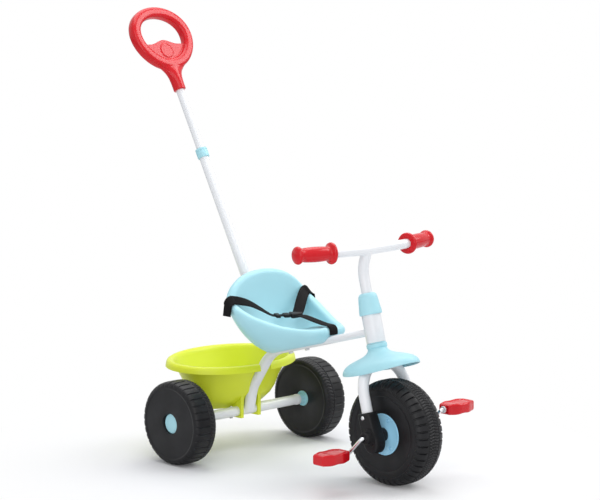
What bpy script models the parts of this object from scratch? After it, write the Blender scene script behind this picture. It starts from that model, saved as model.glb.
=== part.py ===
# Child's tricycle with a telescopic push handle, a harness and a rear basket.
# Metres, +Z up. The rider faces -Y, so the rider's left is +X.
# The origin lies on the ground, under the middle of the object's box.

from math import acos, atan2, cos, hypot, pi, radians, sin, tan

import bmesh
import bpy
from mathutils import Vector

for stale in list(bpy.data.objects):
    bpy.data.objects.remove(stale, do_unlink=True)

# Clearances
FIT_GAP = 0.0003
RUNNING_GAP = 0.0004

# Wheels and stance
WHEELBASE = 0.4686
FRONT_TYRE_RADIUS = 0.115
FRONT_TYRE_WIDTH = 0.079
REAR_TYRE_RADIUS = 0.0946
REAR_TYRE_WIDTH = 0.0635

# Steering, measured along its axis from the foot of the square to the front axle
STEER_RAKE = radians(15.24)
FORK_OFFSET = 0.0057
HEAD_TUBE_BASE = 0.196
HEAD_TUBE_LENGTH = 0.0615
HEAD_TUBE_RADIUS = 0.021
HEAD_TUBE_WALL = 0.002
BUSH_FLANGE = 0.002
BUSH_DEPTH = 0.016
STEERER_RADIUS = 0.014
STEERER_WALL = 0.0018

# Fork
FORK_HALF_SPREAD = 0.066
FORK_TUBE_RADIUS = 0.012
FORK_SHOULDER_HEIGHT = 0.0896
FORK_LEG_FOOT = 0.028

# Fender
FENDER_HALF_LENGTH = 0.098
FENDER_HALF_WIDTH = 0.069
FENDER_WALL = 0.003
FENDER_NECK_RADIUS = 0.0225
FENDER_NECK_HEIGHT = 0.0105
FENDER_GROOVE = 0.0012
FENDER_END_DROP = 0.0543
FENDER_SIDE_DROP = 0.061
FENDER_END_CURVE = ((0.074, 0.361), (1.0, 0.214))
FENDER_SIDE_CURVE = ((0.10, 0.305), (0.98, 0.387))
FENDER_SIDES = 24
FENDER_STEPS = 5

# Collar over the stem
COLLAR_SKIRT_RADIUS = 0.0247
COLLAR_SHOULDER_RADIUS = 0.0218
COLLAR_HEIGHT = 0.050
COLLAR_DOME = 0.0075
COLLAR_OVERLAP = 0.0035

# Stem and handlebar
STEM_RADIUS = 0.0118
STEM_TOP = 0.394
STEM_FORWARD = 0.0243
STEM_BEND_START = 0.328
STEM_DEPTH = 0.040
STEM_SCREW_RADIUS = 0.0025
STEM_SCREW_HEAD_RADIUS = 0.0045
STEM_SCREW_HEAD = 0.003
BAR_RADIUS = 0.0105
BAR_KNEE_REACH = 0.108
BAR_KNEE_FORWARD = 0.012
BAR_KNEE_LIFT = 0.002
BAR_END_BACK = 0.018
BAR_END_LIFT = 0.006
BAR_END_REACH = 0.082
BAR_BEND_RADIUS = 0.035

# Grips
GRIP_LENGTH = 0.096
GRIP_END_WALL = 0.006
GRIP_FLANGE_RADIUS = 0.0235
GRIP_FLANGE_WIDTH = 0.009
GRIP_BARREL_RADIUS = 0.0165
GRIP_WAIST_RADIUS = 0.0148
GRIP_BULB_RADIUS = 0.0193
GRIP_BULB_WIDTH = 0.018

# Bearing blocks on the fork legs
BLOCK_INNER_FACE = 0.052
BLOCK_THICKNESS = 0.030
BLOCK_SOCKET_TOP = 0.052
BLOCK_NECK_HALF_WIDTH = 0.0165
BLOCK_ROUND_RADIUS = 0.033
BLOCK_ROUND_DROP = 0.005
BLOCK_EDGE = 0.004
BLOCK_BOSS_RADIUS = 0.013
BLOCK_BOSS_LENGTH = 0.014
BLOCK_BOLT_HEIGHT = 0.042
BLOCK_BOLT_RADIUS = 0.0025
BLOCK_BOLT_HEAD_RADIUS = 0.0048
BLOCK_BOLT_HEAD = 0.003

# Cranks and pedals
CRANK_ROD_RADIUS = 0.004
CRANK_LENGTH = 0.0509
CRANK_ANGLE = radians(-46.6)
CRANK_ELBOW_REACH = 0.1035
CRANK_SPREAD = 0.004
CRANK_BEND_RADIUS = 0.006
PEDAL_INNER_END = 0.1168
PEDAL_LENGTH = 0.078
PEDAL_MIDDLE_DEPTH = 0.048
PEDAL_END_DEPTH = 0.032
PEDAL_THICKNESS = 0.024
PEDAL_EDGE = 0.0025
PEDAL_RIB_DEPTH = 0.0025
PEDAL_RIB_WIDTH = 0.0045
PEDAL_RIBS = 4
PEDAL_BUSH_RADIUS = 0.0078
PEDAL_BUSH_WIDTH = 0.0027
PEDAL_NUT_RADIUS = 0.006
PEDAL_NUT_WIDTH = 0.002
PEDAL_PIN_TAIL = 0.001

# Front wheel
HUB_DISC_RADIUS = 0.045
HUB_DISC_RECESS = 0.00285
HUB_DISC_THICKNESS = 0.004
HUB_DISC_RIM = 0.0012
HUB_DISC_RIM_WIDTH = 0.003
HUB_BOSS_RADIUS = 0.0150
HUB_BOSS_HEIGHT = 0.003
HUB_SPIGOT_RADIUS = 0.0197
HUB_SPIGOT_LENGTH = 0.024
HUB_COLLAR_RADIUS = 0.011
FRONT_LUGS = 24
FRONT_LUG_GAP = 0.0055
FRONT_LUG_DEPTH = 0.0045
FRONT_BAND_WIDTH = 0.024
FRONT_RING_RADIUS = 0.081

# Rear wheels
REAR_BUSH_FLANGE_RADIUS = 0.0175
REAR_BUSH_RECESS = 0.009
REAR_BUSH_FLANGE = 0.003
REAR_BUSH_SPIGOT_RADIUS = 0.012
REAR_BUSH_NOSE_RADIUS = 0.0118
REAR_CAP_RADIUS = 0.0226
REAR_CAP_RECESS = 0.0077
REAR_CAP_WALL = 0.0025
REAR_POCKET_DEPTH = 0.0255
REAR_BLOCKS = 20
REAR_BLOCK_GAP = 0.005
REAR_BLOCK_DEPTH = 0.003
REAR_RING_RADIUS = 0.068

# Rear axle
BEAM_RADIUS = 0.0115
BEAM_HALF_LENGTH = 0.165
BEAM_TO_WHEEL = 0.0385
BEAM_END_RADIUS = 0.0125
BEAM_END_WIDTH = 0.008
AXLE_ROD_RADIUS = 0.005
AXLE_ROD_TAIL = 0.004
PUSH_NUT_RADIUS = 0.009
PUSH_NUT_WIDTH = 0.003
LOCK_BOLT_SIDE = 0.048
LOCK_BOLT_RADIUS = 0.002
LOCK_BOLT_HEAD_RADIUS = 0.004
LOCK_BOLT_HEAD = 0.0025

# Main tube: a flat oval, bent in its thin direction, as points (y from the rear axle, z)
TUBE_WIDTH = 0.030
TUBE_DEPTH = 0.0165
TUBE_JOINT_HEIGHT = 0.0242
TUBE_KNEE_Y = -0.083
TUBE_KNEE_Z = 0.239
TUBE_KNEE_RADIUS = 0.090
TUBE_HEEL_Y = -0.020
TUBE_HEEL_Z = 0.147
TUBE_HEEL_RADIUS = 0.070
TUBE_FOOT_Y = -0.008
TUBE_FOOT_Z = 0.0845

# Push pole, measured along its axis from its foot on the main tube
POLE_LEAN = radians(28.3)
POLE_FOOT_Y = -0.085
POLE_FOOT_Z = 0.245
POLE_LOWER_RADIUS = 0.011
POLE_UPPER_RADIUS = 0.0095
POLE_WALL = 0.0012
POLE_START = 0.016
POLE_COLLAR_HEIGHT = 0.489
POLE_COLLAR_RADIUS = 0.014
POLE_COLLAR_LENGTH = 0.023
POLE_COLLAR_LIP = 0.003
POLE_INSERTION = 0.230
SOCKET_LENGTH = 0.046
SOCKET_SINK = 0.006
SOCKET_WALL = 0.002

# Push handle
HANDLE_NECK_START = 0.6508
HANDLE_NECK_RADIUS = 0.0145
HANDLE_CENTRE = 0.784
HANDLE_HALF_WIDTH = 0.089
HANDLE_HALF_HEIGHT = 0.0805
HANDLE_TAPER = 0.10
HANDLE_TUBE_RADIUS = 0.0133
HANDLE_SIDES = 24
HANDLE_TUBE_SIDES = 8
HANDLE_WEB_THICKNESS = 0.005
HANDLE_WEB_TOP = -0.0139
HANDLE_WEB_HUMP = 0.0103
HANDLE_WEB_STEPS = 10
HANDLE_BOSS_RADIUS = 0.017
HANDLE_BOSS_DROP = 0.0316
HANDLE_BOSS_RAISE = 0.0012
HANDLE_BORE = 0.045

# Seat: its rim and floor are measured up from the middle of the main tube under them
# The rim's points are half width, y from the rear axle, and rise
SEAT_RIM = (
    (0.000, -0.270, 0.0315),
    (0.032, -0.268, 0.0291),
    (0.054, -0.246, 0.0340),
    (0.078, -0.203, 0.0496),
    (0.099, -0.155, 0.0746),
    (0.111, -0.119, 0.0973),
    (0.115, -0.090, 0.1191),
    (0.112, -0.072, 0.1410),
    (0.096, -0.062, 0.1637),
    (0.068, -0.056, 0.1823),
    (0.036, -0.053, 0.1921),
    (0.000, -0.052, 0.1954),
)
SEAT_ROLL = 0.011
SEAT_FLOOR_Y = -0.160
SEAT_FLOOR_HALF_LENGTH = 0.050
SEAT_FLOOR_HALF_WIDTH = 0.056
SEAT_FLOOR_RISE = 0.0322
SEAT_FLOOR_HOLLOW = 0.003
SEAT_POMMEL_BACK = 0.030
SEAT_POMMEL_RISE = 0.012
SEAT_BASE_Y = -0.192
SEAT_BASE_HALF_LENGTH = 0.066
SEAT_BASE_HALF_WIDTH = 0.046
SEAT_BASE_DROP = 0.004
SEAT_BOLT_RADIUS = 0.003
SEAT_BOLT_HEAD_RADIUS = 0.0055
SEAT_BOLT_HEAD = 0.004
SEAT_BOLT_FRONT_Y = -0.197
SEAT_BOLT_REAR_Y = -0.145
SEAT_BOLT_BITE = 0.010

# Harness: the lap straps cross the rim at one of its points, the crotch strap crosses the nose
STRAP_WIDTH = 0.025
STRAP_THICKNESS = 0.002
STRAP_SLACK = 0.0008
LAP_STRAP_SLACK = 0.0032
STRAP_STRAIGHT = 0.020
LAP_STRAP_RIM_POINT = 6
LAP_STRAP_DROP = 0.024
CROTCH_STRAP_DROP = 0.0065
BUCKLE_LIFT = 0.041
BUCKLE_REACH = 0.012
BUCKLE_FACE_WIDTH = 0.028
BUCKLE_THICKNESS = 0.011
BUCKLE_EDGE = 0.002
TONGUE_LENGTH = 0.015
TONGUE_WIDTH = 0.026
TONGUE_THICKNESS = 0.008
SLIDER_AWAY = 0.040
SLIDER_LENGTH = 0.010
SLIDER_WIDTH = 0.031
SLIDER_THICKNESS = 0.0065

# Basket: half width, half length and height of the inner face, from floor to lip
BASKET_Y = 0.051
BASKET_LEVELS = (
    (0.060, 0.030, 0.1005),
    (0.070, 0.037, 0.1035),
    (0.090, 0.055, 0.122),
    (0.125, 0.080, 0.162),
    (0.148, 0.098, 0.192),
    (0.155, 0.103, 0.203),
    (0.161, 0.108, 0.206),
    (0.168, 0.114, 0.203),
    (0.171, 0.117, 0.192),
)
BASKET_WALL = 0.003
BASKET_CHANNEL_GAP = 0.001
BASKET_NOTCH_HEIGHT = 0.050
BASKET_NOTCH_DROP = 0.006
BASKET_SIDES = 24
BASKET_TAB_INNER = 0.0225
BASKET_TAB_OUTER = 0.031
BASKET_TAB_THICKNESS = 0.0035
BASKET_TAB_TOP = 0.132
BASKET_TAB_LIP = 0.003
BASKET_TAB_REACH = 0.032

# Facets round a piece, by its width
FACETS_WIDE = 20
FACETS_TUBE = 12
FACETS_SMALL = 8
SMOOTH_ANGLE = radians(38)

# The box is centred on the origin, from the front tyre's tread to the back of the handle ring
HANDLE_BACK = (
    POLE_FOOT_Y
    + sin(POLE_LEAN) * (HANDLE_CENTRE + HANDLE_HALF_HEIGHT - HANDLE_TUBE_RADIUS)
    + HANDLE_TUBE_RADIUS
)
REAR_AXLE_Y = (WHEELBASE + FRONT_TYRE_RADIUS - HANDLE_BACK) / 2

FINISHES = {
    "white_paint": ((0.80, 0.81, 0.83), 0.30, 0.0),
    "sky_plastic": ((0.36, 0.70, 0.80), 0.38, 0.0),
    "lime_plastic": ((0.65, 0.80, 0.06), 0.35, 0.0),
    "red_plastic": ((0.62, 0.02, 0.03), 0.35, 0.0),
    "black_tyre": ((0.025, 0.025, 0.028), 0.60, 0.0),
    "black_plastic": ((0.020, 0.020, 0.022), 0.50, 0.0),
    "webbing": ((0.015, 0.013, 0.014), 0.85, 0.0),
    "bare_steel": ((0.62, 0.63, 0.65), 0.28, 1.0),
}


def finish(node, kind):
    colour, roughness, metallic = FINISHES[kind]
    made = bpy.data.materials.new(f"{node}_{kind}")
    made.use_nodes = True
    made.diffuse_color = (*colour, 1.0)
    shader = made.node_tree.nodes["Principled BSDF"]
    shader.inputs["Base Color"].default_value = (*colour, 1.0)
    shader.inputs["Roughness"].default_value = roughness
    shader.inputs["Metallic"].default_value = metallic
    return made


def stand(name, parent=None, at=(0, 0, 0), turn=(0, 0, 0)):
    """An empty on an axis, which the pieces that turn or lie there are parented to."""
    made = bpy.data.objects.new(name, None)
    bpy.context.scene.collection.objects.link(made)
    made.parent = parent
    made.location = at
    made.rotation_euler = turn
    return made


def place(name, bm, kind, parent=None, at=(0, 0, 0), turn=(0, 0, 0)):
    """Closes a bmesh into a named object with its own material."""
    bmesh.ops.recalc_face_normals(bm, faces=bm.faces)
    mesh = bpy.data.meshes.new(name)
    bm.to_mesh(mesh)
    bm.free()
    mesh.shade_smooth()
    mesh.set_sharp_from_angle(angle=SMOOTH_ANGLE)
    made = bpy.data.objects.new(name, mesh)
    bpy.context.scene.collection.objects.link(made)
    made.parent = parent
    made.location = at
    made.rotation_euler = turn
    if kind:
        mesh.materials.append(finish(name, kind))
    else:
        made.hide_render = True
        made.display_type = "WIRE"
    return made


def boolean(body, tool, operation):
    change = body.modifiers.new(f"{operation.lower()} {tool.name}", "BOOLEAN")
    change.operation = operation
    change.solver = "EXACT"
    change.object = tool


def cut(body, *tools):
    for tool in tools:
        boolean(body, tool, "DIFFERENCE")


def join(body, *tools):
    for tool in tools:
        boolean(body, tool, "UNION")


def bevel(body, width, segments=2, angle=radians(40)):
    edge = body.modifiers.new("edges", "BEVEL")
    edge.width = width
    edge.segments = segments
    edge.limit_method = "ANGLE"
    edge.angle_limit = angle


def circle(radius, sides):
    return [(radius * cos(2 * pi * i / sides), radius * sin(2 * pi * i / sides)) for i in range(sides)]


def rounded(corners, radius, steps=5, closed=False):
    """The corners of a flat or bent line, each turned by an arc that its two runs have room for."""
    points = [Vector(corner) for corner in corners]
    count = len(points)
    line = []
    for i, corner in enumerate(points):
        if not closed and i in (0, count - 1):
            line.append(corner)
            continue
        back = points[i - 1] - corner
        ahead = points[(i + 1) % count] - corner
        room = 0.48 * min(back.length, ahead.length)
        back.normalize()
        ahead.normalize()
        half = back.angle(ahead) / 2
        if half > pi / 2 - 0.01:
            line.append(corner)
            continue
        trim = min(radius / tan(half), room)
        arc_radius = trim * tan(half)
        centre = corner + (back + ahead).normalized() * (arc_radius / sin(half))
        start = corner + back * trim - centre
        end = corner + ahead * trim - centre
        sweep = start.angle(end)
        for k in range(steps + 1):
            share = k / steps
            offset = (start * sin((1 - share) * sweep) + end * sin(share * sweep)) / sin(sweep)
            line.append(centre + offset)
    return line


def bezier(controls, steps):
    """Points along one cubic curve, both ends included."""
    a, b, c, d = (Vector(point) for point in controls)
    line = []
    for k in range(steps + 1):
        t = k / steps
        s = 1 - t
        line.append(a * s**3 + b * (3 * s * s * t) + c * (3 * s * t * t) + d * t**3)
    return line


def through(points, steps):
    """A smooth open curve through its points, which leaves both ends square to its mirror plane."""
    known = [Vector(point) for point in points]
    first = known[1].copy()
    first.x = -first.x
    last = known[-2].copy()
    last.x = -last.x
    knots = [first, *known, last]
    line = []
    for i in range(1, len(knots) - 2):
        a, b, c, d = knots[i - 1 : i + 3]
        for k in range(steps):
            t = k / steps
            line.append(
                0.5
                * (2 * b + (c - a) * t + (2 * a - 5 * b + 4 * c - d) * t * t + (3 * b - a - 3 * c + d) * t**3)
            )
    line.append(known[-1])
    return line


def turned(profile, steps, ring=True):
    """A profile of (radius, height) turned about Z. A ring's profile closes on itself."""
    bm = bmesh.new()
    points = [bm.verts.new((radius, 0, height)) for radius, height in profile]
    chain = [*points, points[0]] if ring else points
    edges = [bm.edges.new(pair) for pair in zip(chain, chain[1:])]
    bmesh.ops.spin(
        bm, geom=points + edges, cent=(0, 0, 0), axis=(0, 0, 1), dvec=(0, 0, 0), angle=2 * pi, steps=steps
    )
    bmesh.ops.remove_doubles(bm, verts=bm.verts, dist=1e-6)
    return bm


def bar(radius, low, high, sides=FACETS_TUBE):
    """A plain round bar along Z, for shafts and for the holes that they run in."""
    return turned([(0, high), (radius, high), (radius, low), (0, low)], sides, ring=False)


def lofted(rings, closed=False):
    """Skin over rings of equal counts, with flat ends unless the rings run full circle."""
    bm = bmesh.new()
    rows = [[bm.verts.new(point) for point in ring] for ring in rings]
    count = len(rows[0])
    pairs = list(zip(rows, rows[1:]))
    if closed:
        pairs.append((rows[-1], rows[0]))
    else:
        bm.faces.new(rows[0])
        bm.faces.new(rows[-1])
    for low, high in pairs:
        for i in range(count):
            j = (i + 1) % count
            bm.faces.new((low[i], low[j], high[j], high[i]))
    return bm


def swept(path, section, up):
    """A section carried along a path, its second axis kept towards up."""
    up = Vector(up)
    rings = []
    for i, point in enumerate(path):
        ahead = (path[min(i + 1, len(path) - 1)] - path[max(i - 1, 0)]).normalized()
        side = ahead.cross(up).normalized()
        lift = side.cross(ahead)
        rings.append([point + side * u + lift * v for u, v in section])
    return lofted(rings)


def walled(rings, wall, closed):
    """A wall of even thickness under a skin of rings, which are ordered so that it lies on their right."""
    count = len(rings[0])
    last = len(rings) - 1
    under = []
    for j, ring in enumerate(rings):
        row = []
        for i, point in enumerate(ring):
            along = ring[(i + 1) % count] - ring[i - 1]
            across = rings[min(j + 1, last)][i] - rings[max(j - 1, 0)][i]
            row.append(point + along.cross(across).normalized() * wall)
        under.append(row)
    return lofted([*rings, *reversed(under)], closed)


def block(size, centre):
    bm = bmesh.new()
    bmesh.ops.create_cube(bm, size=1)
    bmesh.ops.scale(bm, vec=size, verts=bm.verts)
    bmesh.ops.translate(bm, vec=centre, verts=bm.verts)
    return bm


def prism(outline, low, high):
    """A flat outline of (y, z) points drawn out along X."""
    return lofted([[Vector((x, y, z)) for y, z in outline] for x in (low, high)])


SIDES = (("left", 1), ("right", -1))

# Axes that the pieces hang on
frame_axis = stand("frame_axis", at=(0, REAR_AXLE_Y, 0))
steering_axis = stand(
    "steering_axis",
    frame_axis,
    at=(0, -WHEELBASE + FORK_OFFSET * cos(STEER_RAKE), FRONT_TYRE_RADIUS - FORK_OFFSET * sin(STEER_RAKE)),
    turn=(-STEER_RAKE, 0, 0),
)
front_axis = stand("front_axis", steering_axis, at=(0, -FORK_OFFSET, 0), turn=(STEER_RAKE, 0, 0))
pole_axis = stand("pole_axis", frame_axis, at=(0, POLE_FOOT_Y, POLE_FOOT_Z), turn=(-POLE_LEAN, 0, 0))


def on_steering_axis(height):
    """The point of the frame at this height along the steering axis."""
    foot = Vector(steering_axis.location)
    return foot + Vector((0, sin(STEER_RAKE), cos(STEER_RAKE))) * height


# Main tube
head_top = HEAD_TUBE_BASE + HEAD_TUBE_LENGTH
axle_turn = (0, pi / 2, 0)
axle_at = (0, 0, REAR_TYRE_RADIUS)
tube_start = on_steering_axis(HEAD_TUBE_BASE + TUBE_JOINT_HEIGHT)
tube_knee = Vector((0, TUBE_KNEE_Y, TUBE_KNEE_Z))
tube_heel = Vector((0, TUBE_HEEL_Y, TUBE_HEEL_Z))
tube_foot = Vector((0, TUBE_FOOT_Y, TUBE_FOOT_Z))
tube_path = (
    rounded([tube_start, tube_knee, tube_heel], TUBE_KNEE_RADIUS, 5)[:-1]
    + rounded([tube_knee, tube_heel, tube_foot], TUBE_HEEL_RADIUS, 4)[1:]
)


def oval(width, depth, arc=5):
    """A flat-sided oval: two half circles of the depth, drawn apart to the width."""
    radius = depth / 2
    reach = width / 2 - radius
    right = [(reach + radius * cos(a), radius * sin(a)) for a in [pi * k / arc - pi / 2 for k in range(arc + 1)]]
    left = [(-u, -v) for u, v in right]
    return [(v, u) for u, v in right + left]


main_tube = place(
    "main_tube",
    swept(tube_path, oval(TUBE_WIDTH, TUBE_DEPTH), (1, 0, 0)),
    "white_paint",
    frame_axis,
)
tube_channel = place(
    "tube_channel",
    swept(tube_path, oval(TUBE_WIDTH + 2 * FIT_GAP, TUBE_DEPTH + 2 * FIT_GAP), (1, 0, 0)),
    None,
    frame_axis,
)
cut(
    main_tube,
    place(
        "head_tube_envelope",
        bar(HEAD_TUBE_RADIUS + FIT_GAP, HEAD_TUBE_BASE - TUBE_WIDTH, head_top + TUBE_WIDTH, FACETS_WIDE),
        None,
        steering_axis,
    ),
    place(
        "beam_envelope",
        bar(BEAM_RADIUS + FIT_GAP, -TUBE_WIDTH, TUBE_WIDTH, FACETS_WIDE),
        None,
        frame_axis,
        axle_at,
        axle_turn,
    ),
)

# Head tube and its two flanged bushes
head_bore = HEAD_TUBE_RADIUS - HEAD_TUBE_WALL
place(
    "head_tube",
    turned(
        [
            (HEAD_TUBE_RADIUS, head_top),
            (HEAD_TUBE_RADIUS, HEAD_TUBE_BASE),
            (head_bore, HEAD_TUBE_BASE),
            (head_bore, head_top),
        ],
        FACETS_WIDE,
    ),
    "white_paint",
    steering_axis,
)
for end, level, way in (("upper", head_top, 1), ("lower", HEAD_TUBE_BASE, -1)):
    seat_face = level + way * FIT_GAP
    place(
        f"steering_bush_{end}",
        turned(
            [
                (STEERER_RADIUS + RUNNING_GAP, seat_face + way * BUSH_FLANGE),
                (HEAD_TUBE_RADIUS, seat_face + way * BUSH_FLANGE),
                (HEAD_TUBE_RADIUS, seat_face),
                (head_bore - FIT_GAP, seat_face),
                (head_bore - FIT_GAP, seat_face - way * BUSH_DEPTH),
                (STEERER_RADIUS + RUNNING_GAP, seat_face - way * BUSH_DEPTH),
            ],
            FACETS_WIDE,
        ),
        "sky_plastic",
        steering_axis,
    )

# Rear axle: beam, rod, push nuts and the bolt that locks the rod in the beam
beam_bore = AXLE_ROD_RADIUS + FIT_GAP
rear_axle_beam = place(
    "rear_axle_beam",
    turned(
        [
            (beam_bore, BEAM_HALF_LENGTH),
            (BEAM_END_RADIUS, BEAM_HALF_LENGTH),
            (BEAM_END_RADIUS, BEAM_HALF_LENGTH - BEAM_END_WIDTH),
            (BEAM_RADIUS, BEAM_HALF_LENGTH - BEAM_END_WIDTH),
            (BEAM_RADIUS, BEAM_END_WIDTH - BEAM_HALF_LENGTH),
            (BEAM_END_RADIUS, BEAM_END_WIDTH - BEAM_HALF_LENGTH),
            (BEAM_END_RADIUS, -BEAM_HALF_LENGTH),
            (beam_bore, -BEAM_HALF_LENGTH),
        ],
        FACETS_WIDE,
    ),
    "white_paint",
    frame_axis,
    axle_at,
    axle_turn,
)
wheel_centre = BEAM_HALF_LENGTH + BEAM_TO_WHEEL
pocket_floor = wheel_centre + REAR_TYRE_WIDTH / 2 - REAR_POCKET_DEPTH
nut_face = pocket_floor + RUNNING_GAP
rod_end = nut_face + PUSH_NUT_WIDTH + AXLE_ROD_TAIL
rear_axle_rod = place(
    "rear_axle_rod", bar(AXLE_ROD_RADIUS, -rod_end, rod_end), "bare_steel", frame_axis, axle_at, axle_turn
)
for side, way in SIDES:
    place(
        f"axle_nut_{side}",
        turned(
            [
                (AXLE_ROD_RADIUS + FIT_GAP, nut_face + PUSH_NUT_WIDTH),
                (PUSH_NUT_RADIUS, nut_face + PUSH_NUT_WIDTH / 3),
                (PUSH_NUT_RADIUS, nut_face),
                (AXLE_ROD_RADIUS + FIT_GAP, nut_face),
            ],
            FACETS_TUBE,
        ),
        "bare_steel",
        frame_axis,
        axle_at,
        (0, way * pi / 2, 0),
    )
lock_head = BEAM_RADIUS + FIT_GAP
lock_at = (-LOCK_BOLT_SIDE, 0, REAR_TYRE_RADIUS)
axle_lock_bolt = place(
    "axle_lock_bolt",
    turned(
        [
            (0, lock_head + LOCK_BOLT_HEAD),
            (LOCK_BOLT_HEAD_RADIUS * 0.7, lock_head + LOCK_BOLT_HEAD),
            (LOCK_BOLT_HEAD_RADIUS, lock_head + LOCK_BOLT_HEAD * 0.4),
            (LOCK_BOLT_HEAD_RADIUS, lock_head),
            (LOCK_BOLT_RADIUS, lock_head),
            (LOCK_BOLT_RADIUS, -lock_head),
            (LOCK_BOLT_HEAD_RADIUS, -lock_head),
            (LOCK_BOLT_HEAD_RADIUS, -lock_head - LOCK_BOLT_HEAD),
            (0, -lock_head - LOCK_BOLT_HEAD),
        ],
        FACETS_SMALL,
        ring=False,
    ),
    "bare_steel",
    frame_axis,
    lock_at,
)
lock_hole = place(
    "lock_hole",
    bar(LOCK_BOLT_RADIUS + FIT_GAP, -2 * BEAM_RADIUS, 2 * BEAM_RADIUS, FACETS_SMALL),
    None,
    frame_axis,
    lock_at,
)
cut(rear_axle_beam, lock_hole)
cut(rear_axle_rod, lock_hole)

# Push pole: the welded socket, the outer tube, its collar and the tube that slides in it
socket_bore = POLE_LOWER_RADIUS + FIT_GAP
pole_socket = place(
    "pole_socket",
    turned(
        [
            (socket_bore + SOCKET_WALL, SOCKET_LENGTH),
            (socket_bore + SOCKET_WALL, -SOCKET_SINK),
            (socket_bore, -SOCKET_SINK),
            (socket_bore, SOCKET_LENGTH),
        ],
        FACETS_WIDE,
    ),
    "white_paint",
    pole_axis,
)
cut(pole_socket, tube_channel)
slide_bore = POLE_UPPER_RADIUS + FIT_GAP
collar_low = POLE_COLLAR_HEIGHT - POLE_COLLAR_LENGTH / 2
collar_high = POLE_COLLAR_HEIGHT + POLE_COLLAR_LENGTH / 2
pole_end = collar_high - POLE_COLLAR_LIP
place(
    "push_pole_lower",
    turned(
        [
            (POLE_LOWER_RADIUS, pole_end),
            (POLE_LOWER_RADIUS, POLE_START),
            (slide_bore, POLE_START),
            (slide_bore, pole_end),
        ],
        FACETS_WIDE,
    ),
    "white_paint",
    pole_axis,
)
place(
    "pole_collar",
    turned(
        [
            (slide_bore, collar_high),
            (POLE_COLLAR_RADIUS - 0.0015, collar_high),
            (POLE_COLLAR_RADIUS, collar_high - 0.0015),
            (POLE_COLLAR_RADIUS, collar_low + 0.001),
            (POLE_COLLAR_RADIUS - 0.001, collar_low),
            (POLE_LOWER_RADIUS + FIT_GAP, collar_low),
            (POLE_LOWER_RADIUS + FIT_GAP, pole_end + FIT_GAP),
            (slide_bore, pole_end + FIT_GAP),
        ],
        FACETS_WIDE,
    ),
    "sky_plastic",
    pole_axis,
)
pole_upper_start = POLE_COLLAR_HEIGHT - POLE_INSERTION
pole_upper_end = HANDLE_NECK_START + HANDLE_BORE - FIT_GAP
place(
    "push_pole_upper",
    turned(
        [
            (POLE_UPPER_RADIUS, pole_upper_end),
            (POLE_UPPER_RADIUS, pole_upper_start),
            (POLE_UPPER_RADIUS - POLE_WALL, pole_upper_start),
            (POLE_UPPER_RADIUS - POLE_WALL, pole_upper_end),
        ],
        FACETS_WIDE,
    ),
    "white_paint",
    pole_axis,
)

# Push handle: an egg-shaped ring on a neck, its lower part closed by a thin web with a wavy top
ring_x = HANDLE_HALF_WIDTH - HANDLE_TUBE_RADIUS
ring_z = HANDLE_HALF_HEIGHT - HANDLE_TUBE_RADIUS
ring_line = [
    Vector((ring_x * u * (1 + HANDLE_TAPER * v), 0, HANDLE_CENTRE + ring_z * v))
    for u, v in circle(1.0, HANDLE_SIDES)
]
ring_rings = []
for k, middle in enumerate(ring_line):
    run = ring_line[(k + 1) % HANDLE_SIDES] - ring_line[k - 1]
    outward = Vector((run.z, 0, -run.x)).normalized()
    ring_rings.append(
        [middle + outward * a + Vector((0, b, 0)) for a, b in circle(HANDLE_TUBE_RADIUS, HANDLE_TUBE_SIDES)]
    )
push_handle = place("push_handle", lofted(ring_rings, closed=True), "red_plastic", pole_axis)
ring_foot = HANDLE_CENTRE - ring_z
neck_shape = (
    (HANDLE_NECK_START, HANDLE_NECK_RADIUS, HANDLE_NECK_RADIUS),
    (HANDLE_NECK_START + 0.020, HANDLE_NECK_RADIUS, HANDLE_NECK_RADIUS),
    (ring_foot - 0.026, 0.0200, 0.0130),
    (ring_foot - 0.015, 0.0275, 0.0123),
    (ring_foot - 0.005, 0.0380, 0.0117),
    (ring_foot + 0.003, 0.0450, 0.0080),
)
neck_rings = [
    [Vector((half_width * u, half_depth * v, level)) for u, v in circle(1.0, FACETS_WIDE)]
    for level, half_width, half_depth in neck_shape
]
handle_neck = place("handle_neck", lofted(neck_rings), None, pole_axis)
web_edge = []
for k in range(HANDLE_WEB_STEPS + 1):
    share = 2 * k / HANDLE_WEB_STEPS - 1
    lift = HANDLE_WEB_HUMP * 0.5 * (1 + cos(pi * min(1, abs(share) / 0.55)))
    web_edge.append((ring_x * 0.95 * share, HANDLE_CENTRE + HANDLE_WEB_TOP + lift))
web_low = [(point.x, point.z) for point in ring_line if point.z < HANDLE_CENTRE + HANDLE_WEB_TOP - 0.003]
web_low.sort(key=lambda point: -point[0])
web_outline = web_edge + web_low
handle_web = place(
    "handle_web",
    lofted(
        [
            [Vector((x, y, z)) for x, z in web_outline]
            for y in (-HANDLE_WEB_THICKNESS / 2, HANDLE_WEB_THICKNESS / 2)
        ]
    ),
    None,
    pole_axis,
)
boss_half = HANDLE_WEB_THICKNESS / 2 + HANDLE_BOSS_RAISE
handle_boss = place(
    "handle_boss",
    bar(HANDLE_BOSS_RADIUS, -boss_half, boss_half, FACETS_WIDE),
    None,
    pole_axis,
    (0, 0, HANDLE_CENTRE - HANDLE_BOSS_DROP),
    (pi / 2, 0, 0),
)
handle_bore = place(
    "handle_bore",
    bar(
        POLE_UPPER_RADIUS + FIT_GAP,
        HANDLE_NECK_START - HANDLE_BORE,
        HANDLE_NECK_START + HANDLE_BORE,
        FACETS_WIDE,
    ),
    None,
    pole_axis,
)
join(push_handle, handle_neck, handle_web, handle_boss)
cut(push_handle, handle_bore)

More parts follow.
